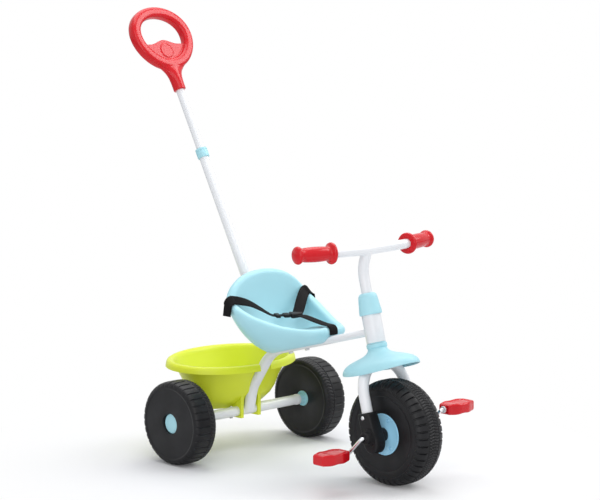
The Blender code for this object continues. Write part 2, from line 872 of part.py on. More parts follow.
# Fork: one bent tube for both legs, with the steerer tube standing on its crown
steerer_top = head_top + FIT_GAP + BUSH_FLANGE + STEM_DEPTH
crown = FORK_SHOULDER_HEIGHT + FORK_HALF_SPREAD
fork_path = [Vector((FORK_HALF_SPREAD, 0, FORK_LEG_FOOT))]
fork_path += [
    Vector((FORK_HALF_SPREAD * cos(a), 0, FORK_SHOULDER_HEIGHT + FORK_HALF_SPREAD * sin(a)))
    for a in [pi * k / 10 for k in range(11)]
]
fork_path.append(Vector((-FORK_HALF_SPREAD, 0, FORK_LEG_FOOT)))
fork = place(
    "fork",
    swept(fork_path, circle(FORK_TUBE_RADIUS, FACETS_TUBE), (0, 1, 0)),
    "white_paint",
    steering_axis,
)
fork_envelope = place(
    "fork_envelope",
    swept(fork_path, circle(FORK_TUBE_RADIUS + FIT_GAP, FACETS_TUBE), (0, 1, 0)),
    None,
    steering_axis,
)
steerer_tube = place(
    "steerer_tube",
    turned(
        [
            (STEERER_RADIUS, steerer_top),
            (STEERER_RADIUS, crown),
            (STEERER_RADIUS - STEERER_WALL, crown),
            (STEERER_RADIUS - STEERER_WALL, steerer_top),
        ],
        FACETS_WIDE,
    ),
    "white_paint",
    steering_axis,
)
cut(steerer_tube, fork_envelope)

# Fender: a bell round the steerer that flares into a hood, long over the wheel, with drooping ends
fender_top = HEAD_TUBE_BASE - FIT_GAP - BUSH_FLANGE - RUNNING_GAP
bell_top = fender_top - FENDER_NECK_HEIGHT
fender_rings = []
for radius, level in (
    (STEERER_RADIUS + FIT_GAP, fender_top),
    (FENDER_NECK_RADIUS, fender_top),
    (FENDER_NECK_RADIUS, bell_top + FENDER_GROOVE),
    (FENDER_NECK_RADIUS - FENDER_GROOVE, bell_top),
):
    fender_rings.append([Vector((radius * u, radius * v, level)) for u, v in circle(1.0, FENDER_SIDES)])
bell = FENDER_NECK_RADIUS - FENDER_GROOVE
flare = []
for u, v in circle(1.0, FENDER_SIDES):
    end, side = v * v, u * u
    root = Vector((bell * u, bell * v, bell_top - FENDER_GROOVE))
    drop = Vector((0, 0, -FENDER_END_DROP * end - FENDER_SIDE_DROP * side))
    brim = Vector((FENDER_HALF_WIDTH * u, FENDER_HALF_LENGTH * v, fender_top)) + drop
    run = Vector((brim.x - root.x, brim.y - root.y, 0))
    bends = []
    for (end_run, end_fall), (side_run, side_fall) in zip(FENDER_END_CURVE, FENDER_SIDE_CURVE):
        reached = end_run * end + side_run * side
        fallen = end_fall * end + side_fall * side
        bends.append(root + run * reached + drop * fallen)
    flare.append(bezier([root, *bends, brim], FENDER_STEPS))
for j in range(FENDER_STEPS + 1):
    fender_rings.append([line[j] for line in flare])
fender = place("fender", walled(fender_rings, FENDER_WALL, closed=True), "sky_plastic", steering_axis)

# Collar: a domed cap over the head tube's top, round the steerer and the stem
collar_base = head_top - COLLAR_OVERLAP
collar_seat = head_top + FIT_GAP + BUSH_FLANGE + RUNNING_GAP
collar_top = collar_base + COLLAR_HEIGHT
upper_collar = place(
    "upper_collar",
    turned(
        [
            (STEM_RADIUS + FIT_GAP, collar_top),
            (COLLAR_SHOULDER_RADIUS - COLLAR_DOME, collar_top),
            (COLLAR_SHOULDER_RADIUS - COLLAR_DOME * 0.37, collar_top - COLLAR_DOME * 0.33),
            (COLLAR_SHOULDER_RADIUS, collar_top - COLLAR_DOME),
            (COLLAR_SKIRT_RADIUS, collar_base + COLLAR_DOME),
            (COLLAR_SKIRT_RADIUS, collar_base),
            (HEAD_TUBE_RADIUS + 2 * FIT_GAP, collar_base),
            (HEAD_TUBE_RADIUS + 2 * FIT_GAP, collar_seat),
            (STEERER_RADIUS + FIT_GAP, collar_seat),
            (STEERER_RADIUS + FIT_GAP, steerer_top + FIT_GAP),
            (STEM_RADIUS + FIT_GAP, steerer_top + FIT_GAP),
        ],
        FACETS_WIDE,
    ),
    "sky_plastic",
    steering_axis,
)

# Stem and handlebar
bar_centre = Vector((0, -STEM_FORWARD, STEM_TOP))
stem_foot = head_top + FIT_GAP + BUSH_FLANGE
stem_path = [Vector((0, 0, stem_foot)), Vector((0, 0, STEM_BEND_START - 0.01))]
stem_path += bezier(
    [
        (0, 0, STEM_BEND_START),
        (0, 0, STEM_BEND_START + 0.45 * (STEM_TOP - STEM_BEND_START)),
        bar_centre + Vector((0, 0.75 * STEM_FORWARD, -0.4 * (STEM_TOP - STEM_BEND_START))),
        bar_centre,
    ],
    8,
)
stem = place(
    "stem",
    swept(stem_path, circle(STEM_RADIUS, FACETS_TUBE), (1, 0, 0)),
    "white_paint",
    steering_axis,
)
knee = bar_centre + Vector((BAR_KNEE_REACH, -BAR_KNEE_FORWARD, BAR_KNEE_LIFT))
grip_direction = Vector((BAR_END_REACH, BAR_END_BACK, BAR_END_LIFT)).normalized()
grip_start = knee + grip_direction * 0.006
bar_tip = grip_start + grip_direction * (GRIP_LENGTH - GRIP_END_WALL - FIT_GAP)


def mirrored(point):
    return Vector((-point.x, point.y, point.z))


bar_corners = [mirrored(bar_tip), mirrored(knee), bar_centre, knee, bar_tip]
bar_path = rounded(bar_corners, BAR_BEND_RADIUS, 3)
handlebar = place(
    "handlebar",
    swept(bar_path, circle(BAR_RADIUS, FACETS_TUBE), (0, 0, 1)),
    "white_paint",
    steering_axis,
)
bar_envelope = place(
    "bar_envelope",
    swept(bar_path, circle(BAR_RADIUS + FIT_GAP, FACETS_TUBE), (0, 0, 1)),
    None,
    steering_axis,
)
cut(stem, bar_envelope)

# Screw through the back of the collar and the steerer, which stops the stem turning
screw_height = steerer_top - STEM_DEPTH * 0.45
screw_seat = COLLAR_SKIRT_RADIUS - 0.003
stem_screw = place(
    "stem_screw",
    turned(
        [
            (0, screw_seat + STEM_SCREW_HEAD),
            (STEM_SCREW_HEAD_RADIUS * 0.75, screw_seat + STEM_SCREW_HEAD),
            (STEM_SCREW_HEAD_RADIUS, screw_seat + STEM_SCREW_HEAD * 0.5),
            (STEM_SCREW_HEAD_RADIUS, screw_seat),
            (STEM_SCREW_RADIUS, screw_seat),
            (STEM_SCREW_RADIUS, STEM_RADIUS * 0.4),
            (0, STEM_RADIUS * 0.4),
        ],
        FACETS_SMALL,
        ring=False,
    ),
    "bare_steel",
    steering_axis,
    (0, 0, screw_height),
    (-pi / 2, 0, 0),
)
screw_hole = place(
    "screw_hole",
    turned(
        [
            (0, screw_seat + 0.02),
            (STEM_SCREW_HEAD_RADIUS + FIT_GAP, screw_seat + 0.02),
            (STEM_SCREW_HEAD_RADIUS + FIT_GAP, screw_seat - FIT_GAP),
            (STEM_SCREW_RADIUS + FIT_GAP, screw_seat - FIT_GAP),
            (STEM_SCREW_RADIUS + FIT_GAP, STEM_RADIUS * 0.4 - FIT_GAP),
            (0, STEM_RADIUS * 0.4 - FIT_GAP),
        ],
        FACETS_SMALL,
        ring=False,
    ),
    None,
    steering_axis,
    (0, 0, screw_height),
    (-pi / 2, 0, 0),
)
for pierced in (upper_collar, steerer_tube, stem):
    cut(pierced, screw_hole)

# Grips: a guard flange, a barrel that swells a little, and a mushroom end
grip_bore = BAR_RADIUS + FIT_GAP
bulb_middle = GRIP_LENGTH - GRIP_BULB_WIDTH / 2
grip_profile = [(0, GRIP_LENGTH)]
for k in range(1, 6):
    turn = pi * k / 6
    grip_profile.append((GRIP_BULB_RADIUS * sin(turn) ** 0.7, bulb_middle + GRIP_BULB_WIDTH / 2 * cos(turn)))
waist_high = GRIP_LENGTH - GRIP_BULB_WIDTH - 0.002
waist_low = GRIP_FLANGE_WIDTH + 0.004
grip_profile += [
    (GRIP_WAIST_RADIUS, waist_high),
    (GRIP_BARREL_RADIUS - 0.0004, waist_high * 0.72 + waist_low * 0.28),
    (GRIP_BARREL_RADIUS, (waist_high + waist_low) / 2),
    (GRIP_BARREL_RADIUS - 0.0004, waist_high * 0.28 + waist_low * 0.72),
    (GRIP_WAIST_RADIUS, waist_low),
    (GRIP_FLANGE_RADIUS - 0.0035, GRIP_FLANGE_WIDTH),
    (GRIP_FLANGE_RADIUS - 0.001, GRIP_FLANGE_WIDTH * 0.85),
    (GRIP_FLANGE_RADIUS, GRIP_FLANGE_WIDTH * 0.5),
    (GRIP_FLANGE_RADIUS - 0.001, GRIP_FLANGE_WIDTH * 0.15),
    (GRIP_FLANGE_RADIUS - 0.0035, 0),
    (grip_bore, 0),
    (grip_bore, GRIP_LENGTH - GRIP_END_WALL),
    (0, GRIP_LENGTH - GRIP_END_WALL),
]
for side, way in SIDES:
    direction = Vector((way * grip_direction.x, grip_direction.y, grip_direction.z))
    place(
        f"grip_{side}",
        turned(grip_profile, FACETS_TUBE, ring=False),
        "red_plastic",
        steering_axis,
        grip_start if way > 0 else mirrored(grip_start),
        direction.to_track_quat("Z", "Y").to_euler(),
    )

# Bearing blocks: a socket round each fork leg above a round hub, in which the crank axle turns
round_y = -FORK_OFFSET
round_z = -BLOCK_ROUND_DROP
block_outline = []
top_angle = {}
for way in (1, -1):
    dy = way * BLOCK_NECK_HALF_WIDTH - round_y
    dz = BLOCK_SOCKET_TOP - round_z
    top_angle[way] = atan2(dz, dy) - way * acos(BLOCK_ROUND_RADIUS / hypot(dy, dz))
arc_sweep = 2 * pi - (top_angle[-1] - top_angle[1])
block_outline = [(BLOCK_NECK_HALF_WIDTH, BLOCK_SOCKET_TOP), (-BLOCK_NECK_HALF_WIDTH, BLOCK_SOCKET_TOP)]
for k in range(15):
    a = top_angle[-1] + arc_sweep * k / 14
    block_outline.append((round_y + BLOCK_ROUND_RADIUS * cos(a), round_z + BLOCK_ROUND_RADIUS * sin(a)))
axle_bore = CRANK_ROD_RADIUS + RUNNING_GAP
for side, way in SIDES:
    inner = way * BLOCK_INNER_FACE
    outer = way * (BLOCK_INNER_FACE + BLOCK_THICKNESS)
    bearing_block = place(
        f"bearing_block_{side}",
        prism(block_outline, inner, outer),
        "black_plastic",
        steering_axis,
    )
    bevel(bearing_block, BLOCK_EDGE, segments=1)
    boss = place(
        f"block_boss_{side}",
        turned(
            [
                (0, BLOCK_INNER_FACE + BLOCK_THICKNESS + BLOCK_BOSS_LENGTH),
                (BLOCK_BOSS_RADIUS - 0.0015, BLOCK_INNER_FACE + BLOCK_THICKNESS + BLOCK_BOSS_LENGTH),
                (BLOCK_BOSS_RADIUS, BLOCK_INNER_FACE + BLOCK_THICKNESS + BLOCK_BOSS_LENGTH - 0.0015),
                (BLOCK_BOSS_RADIUS + 0.001, BLOCK_INNER_FACE + BLOCK_THICKNESS / 2),
                (0, BLOCK_INNER_FACE + BLOCK_THICKNESS / 2),
            ],
            FACETS_TUBE,
            ring=False,
        ),
        None,
        steering_axis,
        (0, -FORK_OFFSET, 0),
        (0, way * pi / 2, 0),
    )
    axle_hole = place(
        f"axle_hole_{side}",
        bar(axle_bore, BLOCK_INNER_FACE - 0.01, BLOCK_INNER_FACE + BLOCK_THICKNESS + BLOCK_BOSS_LENGTH + 0.01),
        None,
        steering_axis,
        (0, -FORK_OFFSET, 0),
        (0, way * pi / 2, 0),
    )
    leg_hole = place(
        f"leg_hole_{side}",
        bar(FORK_TUBE_RADIUS + FIT_GAP, FORK_LEG_FOOT - FIT_GAP, BLOCK_SOCKET_TOP + 0.01),
        None,
        steering_axis,
        (way * FORK_HALF_SPREAD, 0, 0),
    )
    bolt_start = BLOCK_INNER_FACE + 0.004
    bolt_seat = BLOCK_INNER_FACE + BLOCK_THICKNESS + FIT_GAP
    bolt_hole = place(
        f"bolt_hole_{side}",
        bar(BLOCK_BOLT_RADIUS + FIT_GAP, bolt_start - FIT_GAP, bolt_seat + 0.01, FACETS_SMALL),
        None,
        steering_axis,
        (0, 0, BLOCK_BOLT_HEIGHT),
        (0, way * pi / 2, 0),
    )
    place(
        f"block_bolt_{side}",
        turned(
            [
                (0, bolt_seat + BLOCK_BOLT_HEAD),
                (BLOCK_BOLT_HEAD_RADIUS * 0.7, bolt_seat + BLOCK_BOLT_HEAD),
                (BLOCK_BOLT_HEAD_RADIUS, bolt_seat + BLOCK_BOLT_HEAD * 0.5),
                (BLOCK_BOLT_HEAD_RADIUS, bolt_seat),
                (BLOCK_BOLT_RADIUS, bolt_seat),
                (BLOCK_BOLT_RADIUS, bolt_start),
                (0, bolt_start),
            ],
            FACETS_SMALL,
            ring=False,
        ),
        "bare_steel",
        steering_axis,
        (0, 0, BLOCK_BOLT_HEIGHT),
        (0, way * pi / 2, 0),
    )
    join(bearing_block, boss)
    cut(bearing_block, leg_hole, axle_hole, bolt_hole)
    cut(fork, bolt_hole)

# Front wheel: a moulded tyre, a disc hub on each side and the cranked axle through them
half_width = FRONT_TYRE_WIDTH / 2
hub_face = half_width - HUB_DISC_RECESS
hub_seat = hub_face - HUB_DISC_THICKNESS - FIT_GAP
band = FRONT_BAND_WIDTH / 2
tyre_half = [
    (FRONT_TYRE_RADIUS, 0),
    (FRONT_TYRE_RADIUS, band),
    (FRONT_TYRE_RADIUS - 0.0025, band + 0.010),
    (FRONT_TYRE_RADIUS - 0.0075, half_width - 0.0075),
    (FRONT_TYRE_RADIUS - 0.016, half_width - 0.001),
    (FRONT_RING_RADIUS, half_width),
    (FRONT_RING_RADIUS - 0.002, half_width - 0.002),
    (HUB_DISC_RADIUS + 2 * FIT_GAP, half_width - 0.002),
    (HUB_DISC_RADIUS + 2 * FIT_GAP, hub_seat),
    (HUB_SPIGOT_RADIUS + FIT_GAP, hub_seat),
]
tyre_profile = tyre_half[1:] + [(radius, -level) for radius, level in reversed(tyre_half[1:])]
front_tyre = place("front_tyre", turned(tyre_profile, FRONT_LUGS), "black_tyre", front_axis, turn=axle_turn)


def slots(count, radius, gap, depth, start, end):
    """Cutters for the gaps between the tread's shoulder blocks, on both sides of the tyre."""
    bm = bmesh.new()
    for k in range(count):
        a = 2 * pi * (k + 0.5) / count
        radial = Vector((cos(a), sin(a), 0))
        tangent = Vector((-sin(a), cos(a), 0))
        for way in (1, -1):
            corners = []
            for level in (start, end):
                for reach in (radius - depth, radius + 0.004):
                    widen = 1.25 if reach > radius else 1.0
                    for lean in (-1, 1):
                        spot = radial * reach + tangent * (lean * widen * gap / 2)
                        corners.append(bm.verts.new(spot + Vector((0, 0, way * level))))
            a0, a1, b0, b1, c0, c1, d0, d1 = corners
            ends = ((a0, a1, b1, b0), (c0, d0, d1, c1))
            sides = ((a0, c0, c1, a1), (b0, b1, d1, d0), (a0, b0, d0, c0), (a1, c1, d1, b1))
            for face in ends + sides:
                bm.faces.new(face)
    return bm


front_slots = place(
    "front_slots",
    slots(
        FRONT_LUGS,
        FRONT_TYRE_RADIUS - 0.0015,
        FRONT_LUG_GAP,
        FRONT_LUG_DEPTH,
        band + 0.005,
        half_width + 0.010,
    ),
    None,
    front_axis,
    turn=axle_turn,
)
cut(front_tyre, front_slots)
rod_bore = CRANK_ROD_RADIUS + FIT_GAP
boss_face = hub_face + HUB_BOSS_HEIGHT
for side, way in SIDES:
    place(
        f"hub_disc_{side}",
        turned(
            [
                (rod_bore, boss_face),
                (HUB_BOSS_RADIUS, boss_face),
                (HUB_BOSS_RADIUS, hub_face),
                (HUB_DISC_RADIUS - HUB_DISC_RIM_WIDTH, hub_face),
                (HUB_DISC_RADIUS - HUB_DISC_RIM_WIDTH, hub_face + HUB_DISC_RIM),
                (HUB_DISC_RADIUS, hub_face + HUB_DISC_RIM),
                (HUB_DISC_RADIUS, hub_face - HUB_DISC_THICKNESS),
                (HUB_SPIGOT_RADIUS, hub_face - HUB_DISC_THICKNESS),
                (HUB_SPIGOT_RADIUS, hub_face - HUB_DISC_THICKNESS - HUB_SPIGOT_LENGTH),
                (rod_bore, hub_face - HUB_DISC_THICKNESS - HUB_SPIGOT_LENGTH),
            ],
            FACETS_WIDE,
        ),
        "sky_plastic",
        front_axis,
        turn=(0, way * pi / 2, 0),
    )
    place(
        f"hub_collar_{side}",
        turned(
            [
                (rod_bore, BLOCK_INNER_FACE - RUNNING_GAP),
                (HUB_COLLAR_RADIUS, BLOCK_INNER_FACE - RUNNING_GAP),
                (HUB_COLLAR_RADIUS, boss_face + FIT_GAP),
                (rod_bore, boss_face + FIT_GAP),
            ],
            FACETS_TUBE,
        ),
        "black_plastic",
        front_axis,
        turn=(0, way * pi / 2, 0),
    )
pin = Vector((0, CRANK_LENGTH * cos(CRANK_ANGLE), CRANK_LENGTH * sin(CRANK_ANGLE)))
pin_tip = PEDAL_INNER_END + PEDAL_LENGTH + PEDAL_NUT_WIDTH + RUNNING_GAP + PEDAL_PIN_TAIL
elbow = Vector((CRANK_ELBOW_REACH, 0, 0))
wrist = Vector((CRANK_ELBOW_REACH + CRANK_SPREAD, 0, 0))
crank_corners = [
    pin - Vector((pin_tip, 0, 0)),
    pin - wrist,
    -elbow,
    elbow,
    wrist - pin,
    Vector((pin_tip, 0, 0)) - pin,
]
crank_path = rounded(crank_corners, CRANK_BEND_RADIUS, 3)
crank_plane = Vector((1, 0, 0)).cross(pin).normalized()
place(
    "crank_axle",
    swept(crank_path, circle(CRANK_ROD_RADIUS, FACETS_SMALL), crank_plane),
    "bare_steel",
    front_axis,
)

# Pedals: long blocks, widest in the middle, ribbed across above and below
pedal_middle = PEDAL_INNER_END + PEDAL_LENGTH / 2
for side, way in SIDES:
    pedal_axis = stand(f"pedal_axis_{side}", front_axis, at=pin * -way)
    half_length = PEDAL_LENGTH / 2
    plan = [
        (-half_length, PEDAL_END_DEPTH / 2),
        (-half_length * 0.30, PEDAL_MIDDLE_DEPTH / 2),
        (half_length * 0.30, PEDAL_MIDDLE_DEPTH / 2),
        (half_length, PEDAL_END_DEPTH / 2),
        (half_length, -PEDAL_END_DEPTH / 2),
        (half_length * 0.30, -PEDAL_MIDDLE_DEPTH / 2),
        (-half_length * 0.30, -PEDAL_MIDDLE_DEPTH / 2),
        (-half_length, -PEDAL_END_DEPTH / 2),
    ]
    pedal = place(
        f"pedal_{side}",
        lofted(
            [
                [Vector((way * pedal_middle + x, y, z)) for x, y in plan]
                for z in (-PEDAL_THICKNESS / 2, PEDAL_THICKNESS / 2)
            ]
        ),
        "red_plastic",
        pedal_axis,
    )
    bevel(pedal, PEDAL_EDGE, segments=1, angle=radians(30))
    groove_pitch = PEDAL_LENGTH / (PEDAL_RIBS + 1)
    grooves = bmesh.new()
    for k in range(PEDAL_RIBS):
        x = way * pedal_middle + (k - (PEDAL_RIBS - 1) / 2) * groove_pitch
        for face in (1, -1):
            made = bmesh.ops.create_cube(grooves, size=1)["verts"]
            bmesh.ops.scale(grooves, vec=(PEDAL_RIB_WIDTH, 0.1, PEDAL_RIB_DEPTH * 2), verts=made)
            bmesh.ops.translate(grooves, vec=(x, 0, face * PEDAL_THICKNESS / 2), verts=made)
    pedal_grooves = place(f"pedal_grooves_{side}", grooves, None, pedal_axis)
    pedal_bore = place(
        f"pedal_bore_{side}",
        bar(CRANK_ROD_RADIUS + RUNNING_GAP, -0.06, 0.06),
        None,
        pedal_axis,
        (way * pedal_middle, 0, 0),
        axle_turn,
    )
    cut(pedal, pedal_grooves, pedal_bore)
    bush_end = PEDAL_INNER_END - RUNNING_GAP
    place(
        f"pedal_bush_{side}",
        turned(
            [
                (rod_bore, bush_end),
                (PEDAL_BUSH_RADIUS, bush_end),
                (PEDAL_BUSH_RADIUS, bush_end - PEDAL_BUSH_WIDTH),
                (rod_bore, bush_end - PEDAL_BUSH_WIDTH),
            ],
            FACETS_TUBE,
        ),
        "white_paint",
        pedal_axis,
        turn=(0, way * pi / 2, 0),
    )
    nut_start = PEDAL_INNER_END + PEDAL_LENGTH + RUNNING_GAP
    place(
        f"pedal_nut_{side}",
        turned(
            [
                (rod_bore, nut_start + PEDAL_NUT_WIDTH),
                (PEDAL_NUT_RADIUS, nut_start + PEDAL_NUT_WIDTH),
                (PEDAL_NUT_RADIUS, nut_start),
                (rod_bore, nut_start),
            ],
            FACETS_TUBE,
        ),
        "bare_steel",
        pedal_axis,
        turn=(0, way * pi / 2, 0),
    )

# Rear wheels: a moulded tyre on a flanged bush, with a cap pressed over the axle's end
rear_half = REAR_TYRE_WIDTH / 2
flange_seat = REAR_BUSH_RECESS + REAR_BUSH_FLANGE + FIT_GAP - rear_half
pocket_base = rear_half - REAR_POCKET_DEPTH
shoulder = [
    (REAR_TYRE_RADIUS, 0.013),
    (REAR_TYRE_RADIUS - 0.004, rear_half - 0.009),
    (REAR_TYRE_RADIUS - 0.0115, rear_half - 0.001),
    (REAR_RING_RADIUS, rear_half),
    (REAR_RING_RADIUS - 0.002, rear_half - 0.002),
]
rear_profile = [
    *shoulder,
    (REAR_CAP_RADIUS + 2 * FIT_GAP, rear_half - 0.0015),
    (REAR_CAP_RADIUS + 2 * FIT_GAP, pocket_base),
    (REAR_BUSH_SPIGOT_RADIUS + FIT_GAP, pocket_base),
    (REAR_BUSH_SPIGOT_RADIUS + FIT_GAP, flange_seat),
    (REAR_BUSH_FLANGE_RADIUS + 0.0015, flange_seat),
    (REAR_BUSH_FLANGE_RADIUS + 0.0025, 0.002 - rear_half),
    *[(radius, -level) for radius, level in reversed(shoulder)],
]
flange_face = -rear_half + REAR_BUSH_RECESS
beam_face = RUNNING_GAP - BEAM_TO_WHEEL
rod_clear = AXLE_ROD_RADIUS + RUNNING_GAP
cap_face = rear_half - REAR_CAP_RECESS
for side, way in SIDES:
    wheel_axis = stand(
        f"wheel_axis_{side}",
        frame_axis,
        at=(way * wheel_centre, 0, REAR_TYRE_RADIUS),
        turn=(0, way * pi / 2, 0),
    )
    rear_tyre = place(f"rear_tyre_{side}", turned(rear_profile, REAR_BLOCKS), "black_tyre", wheel_axis)
    rear_slots = place(
        f"rear_slots_{side}",
        slots(
            REAR_BLOCKS,
            REAR_TYRE_RADIUS - 0.001,
            REAR_BLOCK_GAP,
            REAR_BLOCK_DEPTH,
            0.015,
            rear_half + 0.010,
        ),
        None,
        wheel_axis,
    )
    cut(rear_tyre, rear_slots)
    place(
        f"rear_bush_{side}",
        turned(
            [
                (REAR_BUSH_SPIGOT_RADIUS, pocket_base - FIT_GAP),
                (REAR_BUSH_SPIGOT_RADIUS, flange_face + REAR_BUSH_FLANGE),
                (REAR_BUSH_FLANGE_RADIUS, flange_face + REAR_BUSH_FLANGE),
                (REAR_BUSH_FLANGE_RADIUS, flange_face),
                (REAR_BUSH_NOSE_RADIUS + 0.002, flange_face - 0.004),
                (REAR_BUSH_NOSE_RADIUS, beam_face),
                (rod_clear, beam_face),
                (rod_clear, pocket_base - FIT_GAP),
            ],
            FACETS_TUBE,
        ),
        "sky_plastic",
        wheel_axis,
    )
    place(
        f"rear_cap_{side}",
        turned(
            [
                (0, cap_face + 0.001),
                (REAR_CAP_RADIUS * 0.6, cap_face + 0.0006),
                (REAR_CAP_RADIUS - 0.0008, cap_face - 0.0003),
                (REAR_CAP_RADIUS, cap_face - 0.0012),
                (REAR_CAP_RADIUS, pocket_base + FIT_GAP),
                (REAR_CAP_RADIUS - REAR_CAP_WALL, pocket_base + FIT_GAP),
                (REAR_CAP_RADIUS - REAR_CAP_WALL, cap_face - REAR_CAP_WALL),
                (0, cap_face - REAR_CAP_WALL),
            ],
            FACETS_WIDE,
            ring=False,
        ),
        "sky_plastic",
        wheel_axis,
    )

# Seat: a bucket with a rolled rim, high at the back and drawn to a blunt nose, astride the main tube
tube_slope = (tube_knee.z - tube_start.z) / (tube_knee.y - tube_start.y)


def tube_line(y):
    """The height of the main tube's middle under the seat."""
    return tube_start.z + tube_slope * (y - tube_start.y)


rim_points = [Vector((x, y, tube_line(y) + rise)) for x, y, rise in SEAT_RIM]
rim_half = through(rim_points, 2)
rim_steps = len(rim_half) - 1
seat_floor = tube_line(SEAT_FLOOR_Y) + SEAT_FLOOR_RISE
seat_columns = []
for i in range(2 * rim_steps):
    k = min(i, 2 * rim_steps - i)
    way = 1 if i <= rim_steps else -1
    rim = rim_half[k].copy()
    rim.x *= way
    before = rim_half[max(k - 1, 0)]
    after = rim_half[min(k + 1, rim_steps)]
    run = after - before
    if k in (0, rim_steps):
        run = Vector((1, 0, 0)) * (1 if k == 0 else -1)
    outward = Vector((run.y, -run.x, 0)).normalized()
    outward.x *= way
    share = k / rim_steps
    turn = pi * share
    base_y = SEAT_BASE_Y - SEAT_BASE_HALF_LENGTH * cos(turn)
    base = Vector((way * SEAT_BASE_HALF_WIDTH * sin(turn), base_y, tube_line(base_y) - SEAT_BASE_DROP))
    ridge = max(0, cos(turn)) ** 8
    floor_point = Vector(
        (
            way * SEAT_FLOOR_HALF_WIDTH * sin(turn),
            SEAT_FLOOR_Y - SEAT_FLOOR_HALF_LENGTH * cos(turn) + SEAT_POMMEL_BACK * ridge,
            seat_floor + SEAT_POMMEL_RISE * ridge,
        )
    )
    down = Vector((0, 0, -1))
    outer = rim + outward * SEAT_ROLL + down * SEAT_ROLL
    height = outer.z - base.z
    wall_out = bezier(
        [base, base + (outer - base) * 0.45 + down * height * 0.35, outer + down * height * 0.45, outer],
        4,
    )
    roll = [rim + outward * (SEAT_ROLL * cos(a)) + down * (SEAT_ROLL * (1 - sin(a))) for a in (0.65, 1.35, 2.3)]
    inner = rim - outward * SEAT_ROLL + down * (SEAT_ROLL * (1 - 0.7 * ridge))
    across = floor_point - inner
    middle = floor_point * 0.4
    middle += Vector((0, SEAT_FLOOR_Y + SEAT_POMMEL_BACK * ridge, 0)) * 0.6
    middle.z = seat_floor - SEAT_FLOOR_HOLLOW
    wall_in = bezier(
        [
            inner,
            inner + Vector((across.x * 0.1, across.y * (0.1 + 0.4 * ridge), across.z * 0.6 * (1 - ridge))),
            floor_point - Vector((across.x * 0.35, across.y * 0.35, across.z * 0.25 * ridge)),
            floor_point,
        ],
        4,
    )
    seat_columns.append(wall_out + roll + wall_in + [middle])
seat_rings = [[column[j] for column in seat_columns] for j in range(len(seat_columns[0]))]
seat = place("seat", lofted(seat_rings), "sky_plastic", frame_axis)
cut(seat, tube_channel)

# Seat bolts, up through the main tube into the seat
for end, y in (("front", SEAT_BOLT_FRONT_Y), ("rear", SEAT_BOLT_REAR_Y)):
    lean = atan2(tube_slope, 1)
    bolt_at = (0, y, tube_line(y))
    bolt_top = TUBE_DEPTH / 2 + SEAT_BOLT_BITE
    bolt_under = -TUBE_DEPTH / 2 - FIT_GAP
    place(
        f"seat_bolt_{end}",
        turned(
            [
                (0, bolt_top),
                (SEAT_BOLT_RADIUS, bolt_top),
                (SEAT_BOLT_RADIUS, bolt_under),
                (SEAT_BOLT_HEAD_RADIUS, bolt_under),
                (SEAT_BOLT_HEAD_RADIUS, bolt_under - SEAT_BOLT_HEAD * 0.6),
                (SEAT_BOLT_HEAD_RADIUS * 0.7, bolt_under - SEAT_BOLT_HEAD),
                (0, bolt_under - SEAT_BOLT_HEAD),
            ],
            FACETS_SMALL,
            ring=False,
        ),
        "bare_steel",
        frame_axis,
        bolt_at,
        (lean, 0, 0),
    )
    hole = place(
        f"seat_bolt_hole_{end}",
        bar(SEAT_BOLT_RADIUS + FIT_GAP, -TUBE_DEPTH, bolt_top + FIT_GAP, FACETS_SMALL),
        None,
        frame_axis,
        bolt_at,
        (lean, 0, 0),
    )
    cut(main_tube, hole)
    cut(seat, hole)

# Harness: two lap straps over the rim and a crotch strap over the nose, all into one buckle


def strap(points, across):
    """A flat band through its points, each with the direction that its width lies in."""
    path = [Vector(point) for point in points]
    rings = []
    for i, point in enumerate(path):
        ahead = (path[min(i + 1, len(path) - 1)] - path[max(i - 1, 0)]).normalized()
        side = Vector(across[i])
        side -= ahead * side.dot(ahead)
        half = side.normalized() * STRAP_WIDTH / 2
        thick = ahead.cross(side).normalized() * STRAP_THICKNESS / 2
        rings.append([point + half + thick, point - half + thick, point - half - thick, point + half - thick])
    return lofted(rings)


